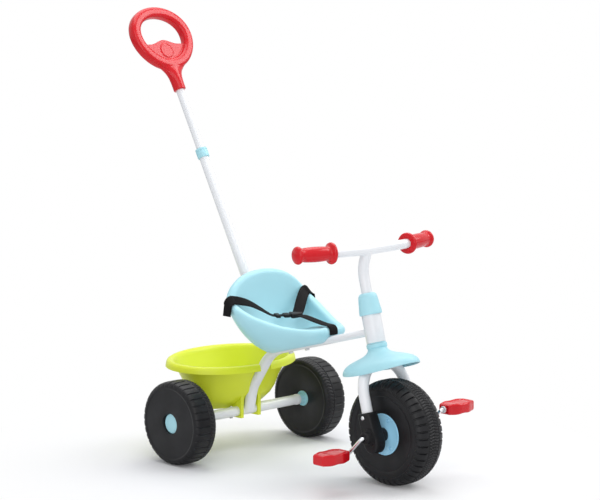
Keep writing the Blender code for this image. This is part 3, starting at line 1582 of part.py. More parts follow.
buckle_at = Vector((0, SEAT_FLOOR_Y, seat_floor + BUCKLE_LIFT))
over_roll = SEAT_ROLL + STRAP_SLACK + STRAP_THICKNESS / 2
lap_over_roll = SEAT_ROLL + LAP_STRAP_SLACK + STRAP_THICKNESS / 2
lap_rim = rim_points[LAP_STRAP_RIM_POINT]
lap_run = rim_points[LAP_STRAP_RIM_POINT + 1] - rim_points[LAP_STRAP_RIM_POINT - 1]
lap_outward = Vector((lap_run.y, -lap_run.x, 0)).normalized()
lap_heart = lap_rim - Vector((0, 0, SEAT_ROLL))
to_rim = Vector((lap_heart.x - buckle_at.x, lap_heart.y - buckle_at.y, 0)).normalized()
for side, way in SIDES:
    mirror = Vector((way, 1, 1))
    end_away = BUCKLE_REACH + FIT_GAP
    if side == "right":
        end_away += TONGUE_LENGTH + FIT_GAP
    lap_end = buckle_at + to_rim * end_away
    lap_turn = lap_end + to_rim * STRAP_STRAIGHT
    lap_points = [lap_heart + lap_outward * lap_over_roll - Vector((0, 0, LAP_STRAP_DROP))]
    for a in (0, 0.5, 1.0, 1.5, 2.0):
        lap_points.append(
            lap_heart + lap_outward * (lap_over_roll * cos(a)) + Vector((0, 0, lap_over_roll * sin(a)))
        )
    lap_across = [lap_run.normalized()] * len(lap_points)
    start = lap_points[-1]
    flat = Vector((-to_rim.y, to_rim.x, 0))
    lead = start.lerp(lap_turn, 0.45)
    curve = bezier([start, (lead.x, lead.y, start.z - 0.002), lap_turn + to_rim * 0.012, lap_turn], 4)
    for k, point in enumerate(curve[1:], 1):
        lap_points.append(point)
        lap_across.append(lap_across[0].lerp(flat, k / 4))
    lap_points.append(lap_end)
    lap_across.append(flat)
    place(
        f"lap_strap_{side}",
        strap([point * mirror for point in lap_points], [across * mirror for across in lap_across]),
        "webbing",
        frame_axis,
    )
nose = rim_points[0]
nose_heart = nose - Vector((0, 0, SEAT_ROLL))
crotch_points = [buckle_at - Vector((0, BUCKLE_REACH + FIT_GAP, 0))]
crotch_points.append(crotch_points[0] - Vector((0, STRAP_STRAIGHT, 0)))
crotch_points.append(nose + Vector((0, 2 * SEAT_ROLL, over_roll - SEAT_ROLL + 0.0015)))
for a in (0.1, 0.5, 0.9, 1.25, pi / 2):
    crotch_points.append(nose_heart + Vector((0, -over_roll * sin(a), over_roll * cos(a))))
crotch_points.append(crotch_points[-1] - Vector((0, 0, CROTCH_STRAP_DROP)))
place("crotch_strap", strap(crotch_points, [(1, 0, 0)] * len(crotch_points)), "webbing", frame_axis)
hub_outline = []
for facing in (Vector((0, -1, 0)), to_rim, to_rim * Vector((-1, 1, 1))):
    along = Vector((-facing.y, facing.x, 0))
    for end in (-1, 1):
        hub_outline.append(buckle_at + facing * BUCKLE_REACH + along * (end * BUCKLE_FACE_WIDTH / 2))
lift = Vector((0, 0, BUCKLE_THICKNESS / 2))
buckle_body = place(
    "buckle_body",
    lofted([[point + lift * end for point in hub_outline] for end in (-1, 1)]),
    "black_plastic",
    frame_axis,
)
bevel(buckle_body, BUCKLE_EDGE, segments=1)
to_right = to_rim * Vector((-1, 1, 1))
strap_turn = (0, 0, atan2(to_right.y, to_right.x))
buckle_tongue = place(
    "buckle_tongue",
    block((TONGUE_LENGTH, TONGUE_WIDTH, TONGUE_THICKNESS), (0, 0, 0)),
    "black_plastic",
    frame_axis,
    buckle_at + to_right * (BUCKLE_REACH + FIT_GAP + TONGUE_LENGTH / 2),
    strap_turn,
)
bevel(buckle_tongue, BUCKLE_EDGE, segments=1)
strap_slider = place(
    "strap_slider",
    block((SLIDER_LENGTH, SLIDER_WIDTH, SLIDER_THICKNESS), (0, 0, 0)),
    "black_plastic",
    frame_axis,
    buckle_at + to_right * SLIDER_AWAY,
    strap_turn,
)
slider_slot = place(
    "slider_slot",
    block((SLIDER_LENGTH * 2, STRAP_WIDTH + 2 * FIT_GAP, STRAP_THICKNESS + 2 * FIT_GAP), (0, 0, 0)),
    None,
    frame_axis,
    buckle_at + to_right * SLIDER_AWAY,
    strap_turn,
)
cut(strap_slider, slider_slot)

# Basket: a tapering bowl with a turned-down lip, with a walled channel for the main tube
def bowl_ring(half_x, half_y, level):
    return [Vector((half_x * u, BASKET_Y + half_y * v, level)) for u, v in circle(1.0, BASKET_SIDES)]


basket = place(
    "basket",
    walled([bowl_ring(*level) for level in BASKET_LEVELS], BASKET_WALL, closed=False),
    "lime_plastic",
    frame_axis,
)
crest = max(range(len(BASKET_LEVELS)), key=lambda k: BASKET_LEVELS[k][2])
in_wall = BASKET_WALL / 2
bowl_inside = place(
    "bowl_inside",
    lofted([bowl_ring(x + in_wall, y + in_wall, z - in_wall) for x, y, z in BASKET_LEVELS[:crest]]),
    None,
    frame_axis,
)
tube_space = 2 * BASKET_CHANNEL_GAP
wall_space = tube_space + 2 * BASKET_WALL
channel_wall = place(
    "channel_wall",
    swept(tube_path, oval(TUBE_WIDTH + wall_space, TUBE_DEPTH + wall_space), (1, 0, 0)),
    None,
    frame_axis,
)
boolean(channel_wall, bowl_inside, "INTERSECT")
tube_way = place(
    "tube_way",
    swept(tube_path, oval(TUBE_WIDTH + tube_space, TUBE_DEPTH + tube_space), (1, 0, 0)),
    None,
    frame_axis,
)
rim_notch = place(
    "rim_notch",
    block(
        (TUBE_WIDTH + tube_space, 2 * TUBE_DEPTH, BASKET_NOTCH_HEIGHT),
        (0, BASKET_Y - BASKET_LEVELS[crest][1] - TUBE_DEPTH, BASKET_LEVELS[crest][2] - BASKET_NOTCH_DROP),
    ),
    None,
    frame_axis,
)
join(basket, channel_wall)
cut(basket, tube_way, rim_notch)
tab_front = -BEAM_RADIUS - FIT_GAP - BASKET_TAB_THICKNESS
beam_bottom = REAR_TYRE_RADIUS - BEAM_RADIUS - FIT_GAP
tab_width = BASKET_TAB_OUTER - BASKET_TAB_INNER
for side, way in SIDES:
    tab_x = way * (BASKET_TAB_INNER + BASKET_TAB_OUTER) / 2
    tab = place(
        f"basket_tab_{side}",
        block(
            (tab_width, BASKET_TAB_REACH - tab_front, BASKET_TAB_TOP - beam_bottom + BASKET_TAB_LIP),
            (tab_x, (BASKET_TAB_REACH + tab_front) / 2, (BASKET_TAB_TOP + beam_bottom - BASKET_TAB_LIP) / 2),
        ),
        None,
        frame_axis,
    )
    cut(tab, bowl_inside)
    join(basket, tab)
beam_saddle = place(
    "beam_saddle",
    bar(BEAM_RADIUS + FIT_GAP, -2 * BASKET_TAB_OUTER, 2 * BASKET_TAB_OUTER, FACETS_WIDE),
    None,
    frame_axis,
    axle_at,
    axle_turn,
)
cut(basket, beam_saddle)

bpy.context.view_layer.update()
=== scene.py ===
from math import atan2, cos, hypot, pi, radians, sin, tan

import bpy
from mathutils import Matrix, Vector


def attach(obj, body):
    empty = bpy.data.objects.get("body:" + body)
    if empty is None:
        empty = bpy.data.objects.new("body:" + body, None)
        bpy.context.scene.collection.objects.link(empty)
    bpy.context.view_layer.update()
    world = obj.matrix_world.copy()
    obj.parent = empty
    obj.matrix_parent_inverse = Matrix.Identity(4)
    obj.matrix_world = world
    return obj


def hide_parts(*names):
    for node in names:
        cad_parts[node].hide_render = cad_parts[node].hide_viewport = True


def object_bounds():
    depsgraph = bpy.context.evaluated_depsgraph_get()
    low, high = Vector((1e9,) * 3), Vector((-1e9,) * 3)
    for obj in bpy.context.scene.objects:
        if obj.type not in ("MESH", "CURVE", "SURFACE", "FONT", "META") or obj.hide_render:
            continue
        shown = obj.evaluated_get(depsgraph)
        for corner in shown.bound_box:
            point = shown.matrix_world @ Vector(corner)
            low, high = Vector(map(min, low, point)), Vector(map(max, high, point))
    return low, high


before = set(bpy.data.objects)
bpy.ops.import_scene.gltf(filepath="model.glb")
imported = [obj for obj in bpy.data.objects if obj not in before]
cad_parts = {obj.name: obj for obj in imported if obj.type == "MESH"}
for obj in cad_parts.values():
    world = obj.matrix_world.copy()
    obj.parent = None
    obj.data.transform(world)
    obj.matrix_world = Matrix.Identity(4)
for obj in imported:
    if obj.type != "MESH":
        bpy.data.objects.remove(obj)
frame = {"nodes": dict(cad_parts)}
cad_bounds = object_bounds()
nodes = frame["nodes"]

# Camera and studio
# A long lens in front and to the right of the rider, a little above the handlebar. The object stands on a
# white floor under broad, soft light from above, which leaves grey pools of shadow under the wheels.
CAMERA_PLACE = (-3.3549, -3.486, 1.1248)
CAMERA_WAY = (0.69247, 0.7091, -0.13293)
FOCAL_LENGTH = 130.95
SENSOR_WIDTH = 36
FLOOR_SIZE = 26
FLOOR_COLOUR = (0.86, 0.86, 0.87, 1)
FLOOR_WHITE = [(0.34, 0.06), (0.74, 1.0)]
SKY_COLOUR = (0.93, 0.96, 1.0, 1)
SKY_STRENGTH = 0.46
LAMP_TARGET = Vector((0, 0, 0.35))
LAMPS = (
    ("key", (-1.6, -1.9, 3.1), 2.2, 26),
    ("top", (0.6, 0.7, 3.2), 2.6, 60),
    ("front", (-2.6, -2.2, 1.2), 2.0, 22),
    ("rim", (2.3, -1.3, 2.7), 1.6, 42),
)


def made_of(name, data):
    """A new object with this data, linked to the scene."""
    made = bpy.data.objects.new(name, data)
    bpy.context.scene.collection.objects.link(made)
    return made


def hang(name, data, place, way):
    """Puts a camera or lamp in its place, looking the given way."""
    hung = made_of(name, data)
    hung.location = place
    hung.rotation_euler = Vector(way).to_track_quat("-Z", "Y").to_euler()
    return hung


lens = bpy.data.cameras.new("camera")
lens.lens = FOCAL_LENGTH
lens.sensor_width = SENSOR_WIDTH
bpy.context.scene.camera = hang("camera", lens, CAMERA_PLACE, CAMERA_WAY)
bpy.context.scene.view_settings.view_transform = "Standard"
for name, place, size, power in LAMPS:
    lamp = bpy.data.lights.new(name, "AREA")
    lamp.size = size
    lamp.energy = power
    hang(name, lamp, place, LAMP_TARGET - Vector(place))


class Value:
    """A number or colour in a material's nodes, so that sums are written as sums."""

    def __init__(self, finish, socket):
        self.finish = finish
        self.socket = socket

    def sum(self, operation, *others):
        inputs = {number: other for number, other in enumerate(others)}
        return self.finish.node("ShaderNodeMath", {"operation": operation}, inputs)

    def __add__(self, other):
        return self.sum("ADD", self, other)

    def __radd__(self, other):
        return self.sum("ADD", other, self)

    def __sub__(self, other):
        return self.sum("SUBTRACT", self, other)

    def __mul__(self, other):
        return self.sum("MULTIPLY", self, other)

    def __rmul__(self, other):
        return self.sum("MULTIPLY", other, self)


class Finish:
    """A surface, or the world's light, made of Blender's shading nodes."""

    def __init__(self, name, surface, holder=None):
        self.name = name
        self.material = holder or bpy.data.materials.new(name)
        self.material.use_nodes = True
        self.tree = self.material.node_tree
        self.shader = self.tree.nodes["Background" if holder else "Principled BSDF"]
        for socket, value in surface.items():
            self.feed(self.shader.inputs[socket], value)

    def feed(self, socket, value):
        if isinstance(value, Value):
            self.tree.links.new(value.socket, socket)
        else:
            socket.default_value = value

    def node(self, kind, settings, inputs, output=0):
        made = self.tree.nodes.new(kind)
        for name, value in settings.items():
            if name == "stops":
                ramp = made.color_ramp.elements
                while len(ramp) < len(value):
                    ramp.new(0.5)
                for stop, (position, shade) in zip(ramp, value):
                    stop.position = position
                    stop.color = (shade, shade, shade, 1)
            else:
                setattr(made, name, value)
        for name, value in inputs.items():
            self.feed(made.inputs[name], value)
        return Value(self, made.outputs[output])

    def noise(self, scale, detail=2, stretch=None, where=None):
        where = where or self.node("ShaderNodeTexCoord", {}, {}, "Object")
        if stretch:
            where = self.node("ShaderNodeMapping", {}, {"Vector": where, "Scale": stretch})
        return self.node("ShaderNodeTexNoise", {}, {"Vector": where, "Scale": scale, "Detail": detail})

    def ramp(self, value, stops):
        return self.node("ShaderNodeValToRGB", {"stops": stops}, {"Fac": value})

    def blend(self, share, first, second):
        return self.node("ShaderNodeMix", {"data_type": "RGBA"}, {0: share, 6: first, 7: second}, 2)

    def mix(self, share, first, second):
        return self.blend(share, (*first, 1), (*second, 1))

    def rays(self, *kinds):
        """One for a ray of any of these kinds, and nought for every other."""
        return sum(self.node("ShaderNodeLightPath", {}, {}, f"Is {kind} Ray") for kind in kinds)

    def show(self, share, other):
        """Shows the other shader for this share of the surface's light."""
        own = Value(self, self.shader.outputs[0])
        both = self.node("ShaderNodeMixShader", {}, {0: share, 1: own, 2: other})
        outlet = "World Output" if self.shader.name == "Background" else "Material Output"
        self.feed(self.tree.nodes[outlet].inputs["Surface"], both)

    def paint(self, socket, value):
        self.feed(self.shader.inputs[socket], value)

    def relief(self, height, distance, strength=1.0):
        inputs = {"Strength": strength, "Distance": distance, "Height": height}
        self.paint("Normal", self.node("ShaderNodeBump", {}, inputs))


bpy.ops.object.select_all(action="DESELECT")
bpy.ops.mesh.primitive_plane_add(size=FLOOR_SIZE)
floor = bpy.context.object
floor.name = "floor"
ground = Finish("studio_floor", {"Base Color": FLOOR_COLOUR, "Roughness": 0.9, "Specular IOR Level": 0.1})
spot = ground.node("ShaderNodeTexCoord", {}, {}, "Object")
away = ground.node("ShaderNodeVectorMath", {"operation": "LENGTH"}, {0: spot}, "Value")
glow = ground.node("ShaderNodeEmission", {}, {"Color": (1, 1, 1, 1), "Strength": 1.0})
ground.show(ground.rays("Camera") * ground.ramp(away, FLOOR_WHITE), glow)
floor.data.materials.append(ground.material)

bpy.context.scene.world = bpy.data.worlds.new("studio")
sky = Finish("studio", {"Color": SKY_COLOUR, "Strength": SKY_STRENGTH}, bpy.context.scene.world)
white = sky.node("ShaderNodeBackground", {}, {"Color": (1, 1, 1, 1), "Strength": 1.0})
sky.show(sky.rays("Camera", "Glossy", "Transmission"), white)

# Main tube
# The backbone of the frame: a flat-oval steel tube, bent twice and welded to the head tube in front and to
# the axle beam below. It is powder-coated white after welding, with the fine orange peel of such a coat.
REAR_AXLE = 0.125878
WHEELBASE = 0.4686
FRONT_RADIUS = 0.115
REAR_RADIUS = 0.0946
RAKE = radians(15.24)
FORK_OFFSET = 0.0057
STEERING = Matrix.Translation(
    (0, REAR_AXLE - WHEELBASE + FORK_OFFSET * cos(RAKE), FRONT_RADIUS - FORK_OFFSET * sin(RAKE))
) @ Matrix.Rotation(-RAKE, 4, "X")
HEAD_BASE = 0.196
HEAD_LENGTH = 0.0615
TUBE_WIDTH = 0.03
TUBE_DEPTH = 0.0165
TUBE_WELD = 0.0242
WHITE = (0.85, 0.86, 0.88)


def choose(piece):
    """Makes a piece the only selected one."""
    bpy.ops.object.select_all(action="DESELECT")
    piece.select_set(True)
    bpy.context.view_layer.objects.active = piece


def edit(piece, action="SELECT"):
    """Opens a piece for editing, with all of it selected or none."""
    choose(piece)
    bpy.ops.object.mode_set(mode="EDIT")
    bpy.ops.mesh.select_all(action=action)


def close_up(piece, gap=0):
    """Joins the points that lie within the gap of each other and turns every face outwards."""
    edit(piece)
    if gap:
        bpy.ops.mesh.remove_doubles(threshold=gap)
    bpy.ops.mesh.normals_make_consistent(inside=False)
    bpy.ops.object.mode_set(mode="OBJECT")


def settle(piece, place=Matrix()):
    """Puts a piece in its place on the object and leaves its own origin at the frame's."""
    choose(piece)
    piece.matrix_world = place @ piece.matrix_world
    bpy.ops.object.transform_apply(location=True, rotation=True, scale=True)
    return piece


def fit(piece, finish, body, *nodes, slot=None, crease=35):
    """Smooths a piece, gives it its finish and hangs it on its body."""
    slot = slot or finish.name
    choose(piece)
    bpy.ops.object.shade_smooth_by_angle(angle=radians(crease))
    piece.data.materials.clear()
    piece.data.materials.append(finish.material)
    if nodes:
        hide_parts(*nodes)
    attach(piece, body)
    return piece


def rounded(corners, radius, steps=8):
    """The corners of a bent line, each turned by an arc that its two runs have room for."""
    points = [Vector(corner) for corner in corners]
    line = [points[0]]
    for before, corner, after in zip(points, points[1:], points[2:]):
        back, ahead = before - corner, after - corner
        room = 0.48 * min(back.length, ahead.length)
        back.normalize()
        ahead.normalize()
        half = back.angle(ahead) / 2
        trim = min(radius / tan(half), room)
        centre = corner + (back + ahead).normalized() * (trim / cos(half))
        start, end = corner + back * trim - centre, corner + ahead * trim - centre
        sweep = start.angle(end)
        for k in range(steps + 1):
            share = k / steps
            line.append(centre + (start * sin((1 - share) * sweep) + end * sin(share * sweep)) / sin(sweep))
    return line + [points[-1]]


def drawn(name, line, radius, outline=None, caps=True):
    """A bar or tube drawn along a line: round, or with the outline given."""
    curve = bpy.data.curves.new(name, "CURVE")
    curve.dimensions = "3D"
    run = curve.splines.new("POLY")
    run.points.add(len(line) - 1)
    for point, spot in zip(run.points, line):
        point.co = (*spot, 1)
    curve.bevel_depth = radius
    curve.bevel_resolution = 8
    curve.use_fill_caps = caps
    if outline:
        section = bpy.data.curves.new(f"{name}_outline", "CURVE")
        edge = section.splines.new("POLY")
        edge.points.add(len(outline) - 1)
        edge.use_cyclic_u = True
        for point, (x, y) in zip(edge.points, outline):
            point.co = (x, y, 0, 1)
        pattern = made_of(f"{name}_outline", section)
        curve.bevel_mode = "OBJECT"
        curve.bevel_object = pattern
    choose(made_of(name, curve))
    bpy.ops.object.convert(target="MESH")
    piece = bpy.context.object
    close_up(piece, 0.00001)
    if outline:
        bpy.data.objects.remove(pattern, do_unlink=True)
    return piece


def powder_coat(name, colour):
    coat = Finish(name, {"Coat Weight": 0.25, "Coat Roughness": 0.12})
    tone = coat.ramp(coat.noise(7, 2), [(0.35, 0.0), (0.65, 1.0)])
    coat.paint("Base Color", coat.mix(tone, [c * 0.965 for c in colour], colour))
    peel = coat.noise(260, 1)
    coat.paint("Roughness", 0.27 + 0.1 * coat.noise(60, 3))
    coat.relief(peel, 0.000012, 0.35)
    return coat


white_paint = powder_coat("white_paint", WHITE)
tube_start = STEERING @ Vector((0, 0, HEAD_BASE + TUBE_WELD))
tube_knee = Vector((0, REAR_AXLE - 0.083, 0.239))
tube_heel = Vector((0, REAR_AXLE - 0.02, 0.147))
tube_foot = Vector((0, REAR_AXLE - 0.008, REAR_RADIUS - 0.002))
tube_slope = (tube_knee.z - tube_start.z) / (tube_knee.y - tube_start.y)
nose_end = tube_start.lerp(tube_knee, 0.015 / (tube_knee - tube_start).length)
tube_run = rounded([nose_end, tube_knee, tube_heel], 0.09, 14)[:-1]
tube_run += rounded([tube_knee, tube_heel, tube_foot], 0.07, 12)[1:]


def flat_oval(width, depth, steps=10):
    """A tube's outline with two flat sides and two round ones, its width along X."""
    radius = depth / 2
    reach = width / 2 - radius
    ends = [pi * k / steps for k in range(steps + 1)]
    right = [(reach + radius * sin(a), radius * cos(a)) for a in ends]
    return right + [(-x, -y) for x, y in right]


main_tube = drawn("backbone_tube", tube_run, 0, flat_oval(TUBE_WIDTH, TUBE_DEPTH))
settle(main_tube)
fit(main_tube, white_paint, "frame", "main_tube")


def tube_height(y):
    """The height of the main tube's middle under the seat."""
    return tube_start.z + tube_slope * (y + REAR_AXLE - tube_start.y)


# Head tube and its bushes
# A short steel tube with a plain front, and a moulded flanged bush pressed into each end, in which the
# steerer turns. The weld to the main tube is dressed smooth before the coat.
HEAD_RADIUS = 0.021
HEAD_WALL = 0.002


def turned(name, profile, sides=64, ends=False):
    """A piece of revolution about +Z: a circle drawn up ring by ring through (radius, height) points."""
    bpy.ops.object.select_all(action="DESELECT")
    radius, height = profile[0]
    lid = "NGON" if ends else "NOTHING"
    bpy.ops.mesh.primitive_circle_add(vertices=sides, radius=radius, location=(0, 0, height), fill_type=lid)
    piece = bpy.context.object
    piece.name = name
    edit(piece)
    for wide, high in profile[1:]:
        bpy.ops.mesh.extrude_region_move(TRANSFORM_OT_translate={"value": (0, 0, high - height)})
        if wide != radius:
            share = wide / radius
            bpy.ops.transform.resize(value=(share, share, 1), center_override=(0, 0, high))
        radius, height = wide, high
    bpy.ops.object.mode_set(mode="OBJECT")
    close_up(piece, 0.000005)
    return piece


def pipe(name, outer, inner, low, high, sides):
    """A plain tube from one height to another."""
    return turned(name, [(outer, low), (outer, high), (inner, high), (inner, low), (outer, low)], sides)


def change(piece, kind, **settings):
    """Adds one modifier and applies it."""
    choose(piece)
    made = piece.modifiers.new(kind, kind)
    for name, value in settings.items():
        setattr(made, name, value)
    bpy.ops.object.modifier_apply(modifier=made.name)


def soften(piece, width, segments=3, angle=40):
    """Rounds every edge that is sharper than the angle."""
    limit = {"limit_method": "ANGLE", "angle_limit": radians(angle), "use_clamp_overlap": True}
    change(piece, "BEVEL", width=width, segments=segments, **limit)


def copied(node, name):
    """A copy of a small CAD piece with its loose faces joined, ready for its edges to be softened."""
    piece = nodes[node].copy()
    piece.data = nodes[node].data.copy()
    piece.name = name
    piece.parent = None
    for key in list(piece.keys()):
        del piece[key]
    bpy.context.scene.collection.objects.link(piece)
    piece.matrix_world = Matrix()
    edit(piece)
    bpy.ops.mesh.remove_doubles(threshold=0.00002)
    bpy.ops.mesh.dissolve_limited(angle_limit=radians(0.5))
    bpy.ops.object.mode_set(mode="OBJECT")
    piece.data.normals_split_custom_set([(0, 0, 0)] * len(piece.data.loops))
    return piece


head_top = HEAD_BASE + HEAD_LENGTH
head_tube = pipe("head_tube_shell", HEAD_RADIUS, HEAD_RADIUS - HEAD_WALL, HEAD_BASE, head_top, 72)
soften(head_tube, 0.0005)
settle(head_tube, STEERING)
fit(head_tube, white_paint, "frame", "head_tube")


def moulded(name, colour, roughness=0.36, depth=0.06, shine=0.4, grain=0.000004):
    """A satin injection moulding: even colour, a fine grain and the faint cloudiness of the melt."""
    cast = Finish(name, {"Specular IOR Level": shine})
    cloud = cast.ramp(cast.noise(11, 3), [(0.3, 0.0), (0.7, 1.0)])
    dark = [c * (1 - depth) for c in colour]
    cast.paint("Base Color", cast.mix(cloud, dark, colour))
    scuff = cast.ramp(cast.noise(38, 4, (1, 1, 3.5)), [(0.56, 0.0), (0.72, 1.0)])
    cast.paint("Roughness", roughness + 0.04 * cast.noise(150, 2) + 0.04 * scuff)
    cast.relief(cast.noise(1500, 1), grain, 0.25)
    return cast


SKY = (0.43, 0.765, 0.85)
sky_plastic = moulded("sky_plastic", SKY)
for end in ("upper", "lower"):
    bush = copied(f"steering_bush_{end}", f"head_bush_{end}")
    fit(bush, sky_plastic, "frame", f"steering_bush_{end}")

# Rear axle
# A round steel beam with thicker ends is welded under the main tube. A zinc-plated rod runs through it
# and carries the wheels, a bolt through both stops it turning, and a push nut on each end holds the wheel.
BEAM_RADIUS = 0.0115
BEAM_HALF = 0.165
BEAM_END_RADIUS = 0.0125
BEAM_END = 0.008
AXLE = Matrix.Translation((0, REAR_AXLE, REAR_RADIUS))


def sideways(way, place=(0, 0, 0)):
    """Turns a piece's +Z to the rider's left, or to the right where the way is -1, and moves it."""
    return Matrix.Translation(place) @ Matrix.Rotation(way * pi / 2, 4, "Y")


ACROSS = sideways(1)
beam_profile = [
    (0.0053, -BEAM_HALF), (BEAM_END_RADIUS, -BEAM_HALF), (BEAM_END_RADIUS, BEAM_END - BEAM_HALF),
    (BEAM_RADIUS, BEAM_END - BEAM_HALF), (BEAM_RADIUS, BEAM_HALF - BEAM_END),
    (BEAM_END_RADIUS, BEAM_HALF - BEAM_END), (BEAM_END_RADIUS, BEAM_HALF), (0.0053, BEAM_HALF),
    (0.0053, -BEAM_HALF),
]
beam = turned("axle_beam", beam_profile, 48)
soften(beam, 0.0006)
settle(beam, AXLE @ ACROSS)
fit(beam, white_paint, "frame", "rear_axle_beam")


def plated(name, colour, roughness, streak):
    """Plated steel, with the faint lengthwise lines that drawing leaves in the rod."""
    metal = Finish(name, {"Metallic": 1.0})
    lines = metal.noise(600, 2, streak)
    metal.paint("Base Color", metal.mix(metal.noise(40, 2), [c * 0.88 for c in colour], colour))
    metal.paint("Roughness", roughness + 0.12 * lines)
    metal.relief(lines, 0.00003, 0.3)
    return metal


bare_steel = plated("bare_steel", (0.66, 0.67, 0.69), 0.22, (1, 1, 1))
for name, node, body in (
    ("axle_rod", "rear_axle_rod", "frame"),
    ("axle_bolt", "axle_lock_bolt", "frame"),
    ("push_nut_left", "axle_nut_left", "frame"),
    ("push_nut_right", "axle_nut_right", "frame"),
    ("saddle_bolt_front", "seat_bolt_front", "frame"),
    ("saddle_bolt_rear", "seat_bolt_rear", "frame"),
    ("collar_screw", "stem_screw", "steering"),
    ("leg_bolt_left", "block_bolt_left", "steering"),
    ("leg_bolt_right", "block_bolt_right", "steering"),
    ("pin_nut_left", "pedal_nut_left", "front_wheel"),
    ("pin_nut_right", "pedal_nut_right", "front_wheel"),
):
    small = copied(node, name)
    soften(small, 0.0003, 2, 50)
    fit(small, bare_steel, body, node, crease=50)

# Push pole
# A steel tube stands in a socket welded to the main tube. A thinner tube slides in it, gripped by a
# light blue clamping collar at its mouth, so that the handle can be set higher or lower.
POLE = Matrix.Translation((0, REAR_AXLE - 0.085, 0.245)) @ Matrix.Rotation(radians(-28.3), 4, "X")
POLE_LOWER = 0.011
POLE_UPPER = 0.0095
POLE_WALL = 0.0012
FIT_GAP = 0.0003
LOWER_FOOT = 0.016
UPPER_ENDS = (0.259, 0.6955)
COLLAR_AT = 0.489
COLLAR_LENGTH = 0.023
COLLAR_RADIUS = 0.014

socket = copied("pole_socket", "pole_socket_tube")
fit(socket, white_paint, "frame", "pole_socket")
lower_end = COLLAR_AT + COLLAR_LENGTH / 2 - 0.003
pole_bore = POLE_UPPER + FIT_GAP
collar_bore = POLE_LOWER + FIT_GAP
for name, radius, bore, start, end, body, node in (
    ("pole_outer_tube", POLE_LOWER, pole_bore, LOWER_FOOT, lower_end, "frame", "push_pole_lower"),
    ("pole_inner_tube", POLE_UPPER, POLE_UPPER - POLE_WALL, *UPPER_ENDS, "push_bar", "push_pole_upper"),
):
    pole = pipe(name, radius, bore, start, end, 48)
    soften(pole, 0.0003)
    settle(pole, POLE)
    fit(pole, white_paint, body, node)
low, high = COLLAR_AT - COLLAR_LENGTH / 2, COLLAR_AT + COLLAR_LENGTH / 2
pole_collar_profile = [
    (collar_bore, low), (COLLAR_RADIUS - 0.0006, low), (COLLAR_RADIUS, low + 0.003),
    (COLLAR_RADIUS, high - 0.007), (COLLAR_RADIUS - 0.0007, high - 0.0065),
    (COLLAR_RADIUS - 0.0007, high - 0.0058), (COLLAR_RADIUS, high - 0.0053),
    (COLLAR_RADIUS - 0.0002, high - 0.001), (COLLAR_RADIUS - 0.0018, high), (pole_bore, high),
    (pole_bore, lower_end + FIT_GAP), (collar_bore, lower_end + FIT_GAP), (collar_bore, low),
]
pole_collar = turned("pole_clamp", pole_collar_profile, 56)
soften(pole_collar, 0.0005, 2, 30)
settle(pole_collar, POLE)
fit(pole_collar, sky_plastic, "frame", "pole_collar")

# Push handle
# A red moulding pressed over the sliding tube: an egg-shaped ring that the adult's hand holds, on a neck
# that widens into it. A thin web with a wavy top and a plain round boss closes the ring's lower part.
RED = (0.63, 0.005, 0.012)
RING_HALF_WIDTH = 0.089 - 0.0133
RING_HALF_HEIGHT = 0.0805 - 0.0133
RING_TUBE = 0.0133
RING_CENTRE = 0.784
RING_TAPER = 0.1
RING_STEPS = 120
RING_SQUARENESS = 3.1
NECK_START = 0.6508
NECK_RADIUS = 0.0145
BORE_DEPTH = 0.045
WEB_TOP = -0.0139
WEB_HUMP = 0.0103
WEB_HALF = 0.0025
BOSS_DROP = 0.0316
BOSS_WIDE = 0.017
BOSS_THICK = 0.0074

red_plastic = moulded("red_plastic", RED, 0.17, 0.04, 0.32, 0.000002)


def shape(piece, operation, part):
    """Joins a part to a piece, cuts it out of it, or leaves what both share."""
    change(piece, "BOOLEAN", operation=operation, solver="EXACT", object=part)


def combine(piece, operation, *parts):
    """Shapes a piece by several parts and does away with them."""
    for part in parts:
        shape(piece, operation, part)
    for part in parts:
        bpy.data.objects.remove(part, do_unlink=True)


def rod(name, radius, low, high, sides, place=Matrix()):
    """A plain round bar from one height to another, put in its place."""
    return settle(turned(name, [(radius, low), (radius, high)], sides, ends=True), place)


def skin(name, rings, closed=False, capped=False):
    """A skin stretched over rings that all have the same number of points."""
    count = len(rings[0])
    points = [tuple(point) for ring in rings for point in ring]
    faces = []
    for j in range(len(rings) if closed else len(rings) - 1):
        below, above = j * count, (j + 1) % len(rings) * count
        for i in range(count):
            after = (i + 1) % count
            faces.append((below + i, below + after, above + after, above + i))
    if capped:
        faces.append(tuple(reversed(range(count))))
        faces.append(tuple((len(rings) - 1) * count + i for i in range(count)))
    mesh = bpy.data.meshes.new(name)
    mesh.from_pydata(points, [], faces)
    piece = made_of(name, mesh)
    close_up(piece)
    return piece


def turn_of(count):
    """Points all the way round a circle."""
    return [(cos(2 * pi * i / count), sin(2 * pi * i / count)) for i in range(count)]


def squared(u, v, power):
    """A point on a circle pushed out towards a rounded square."""
    size = (abs(u) ** power + abs(v) ** power) ** (-1 / power)
    return u * size, v * size


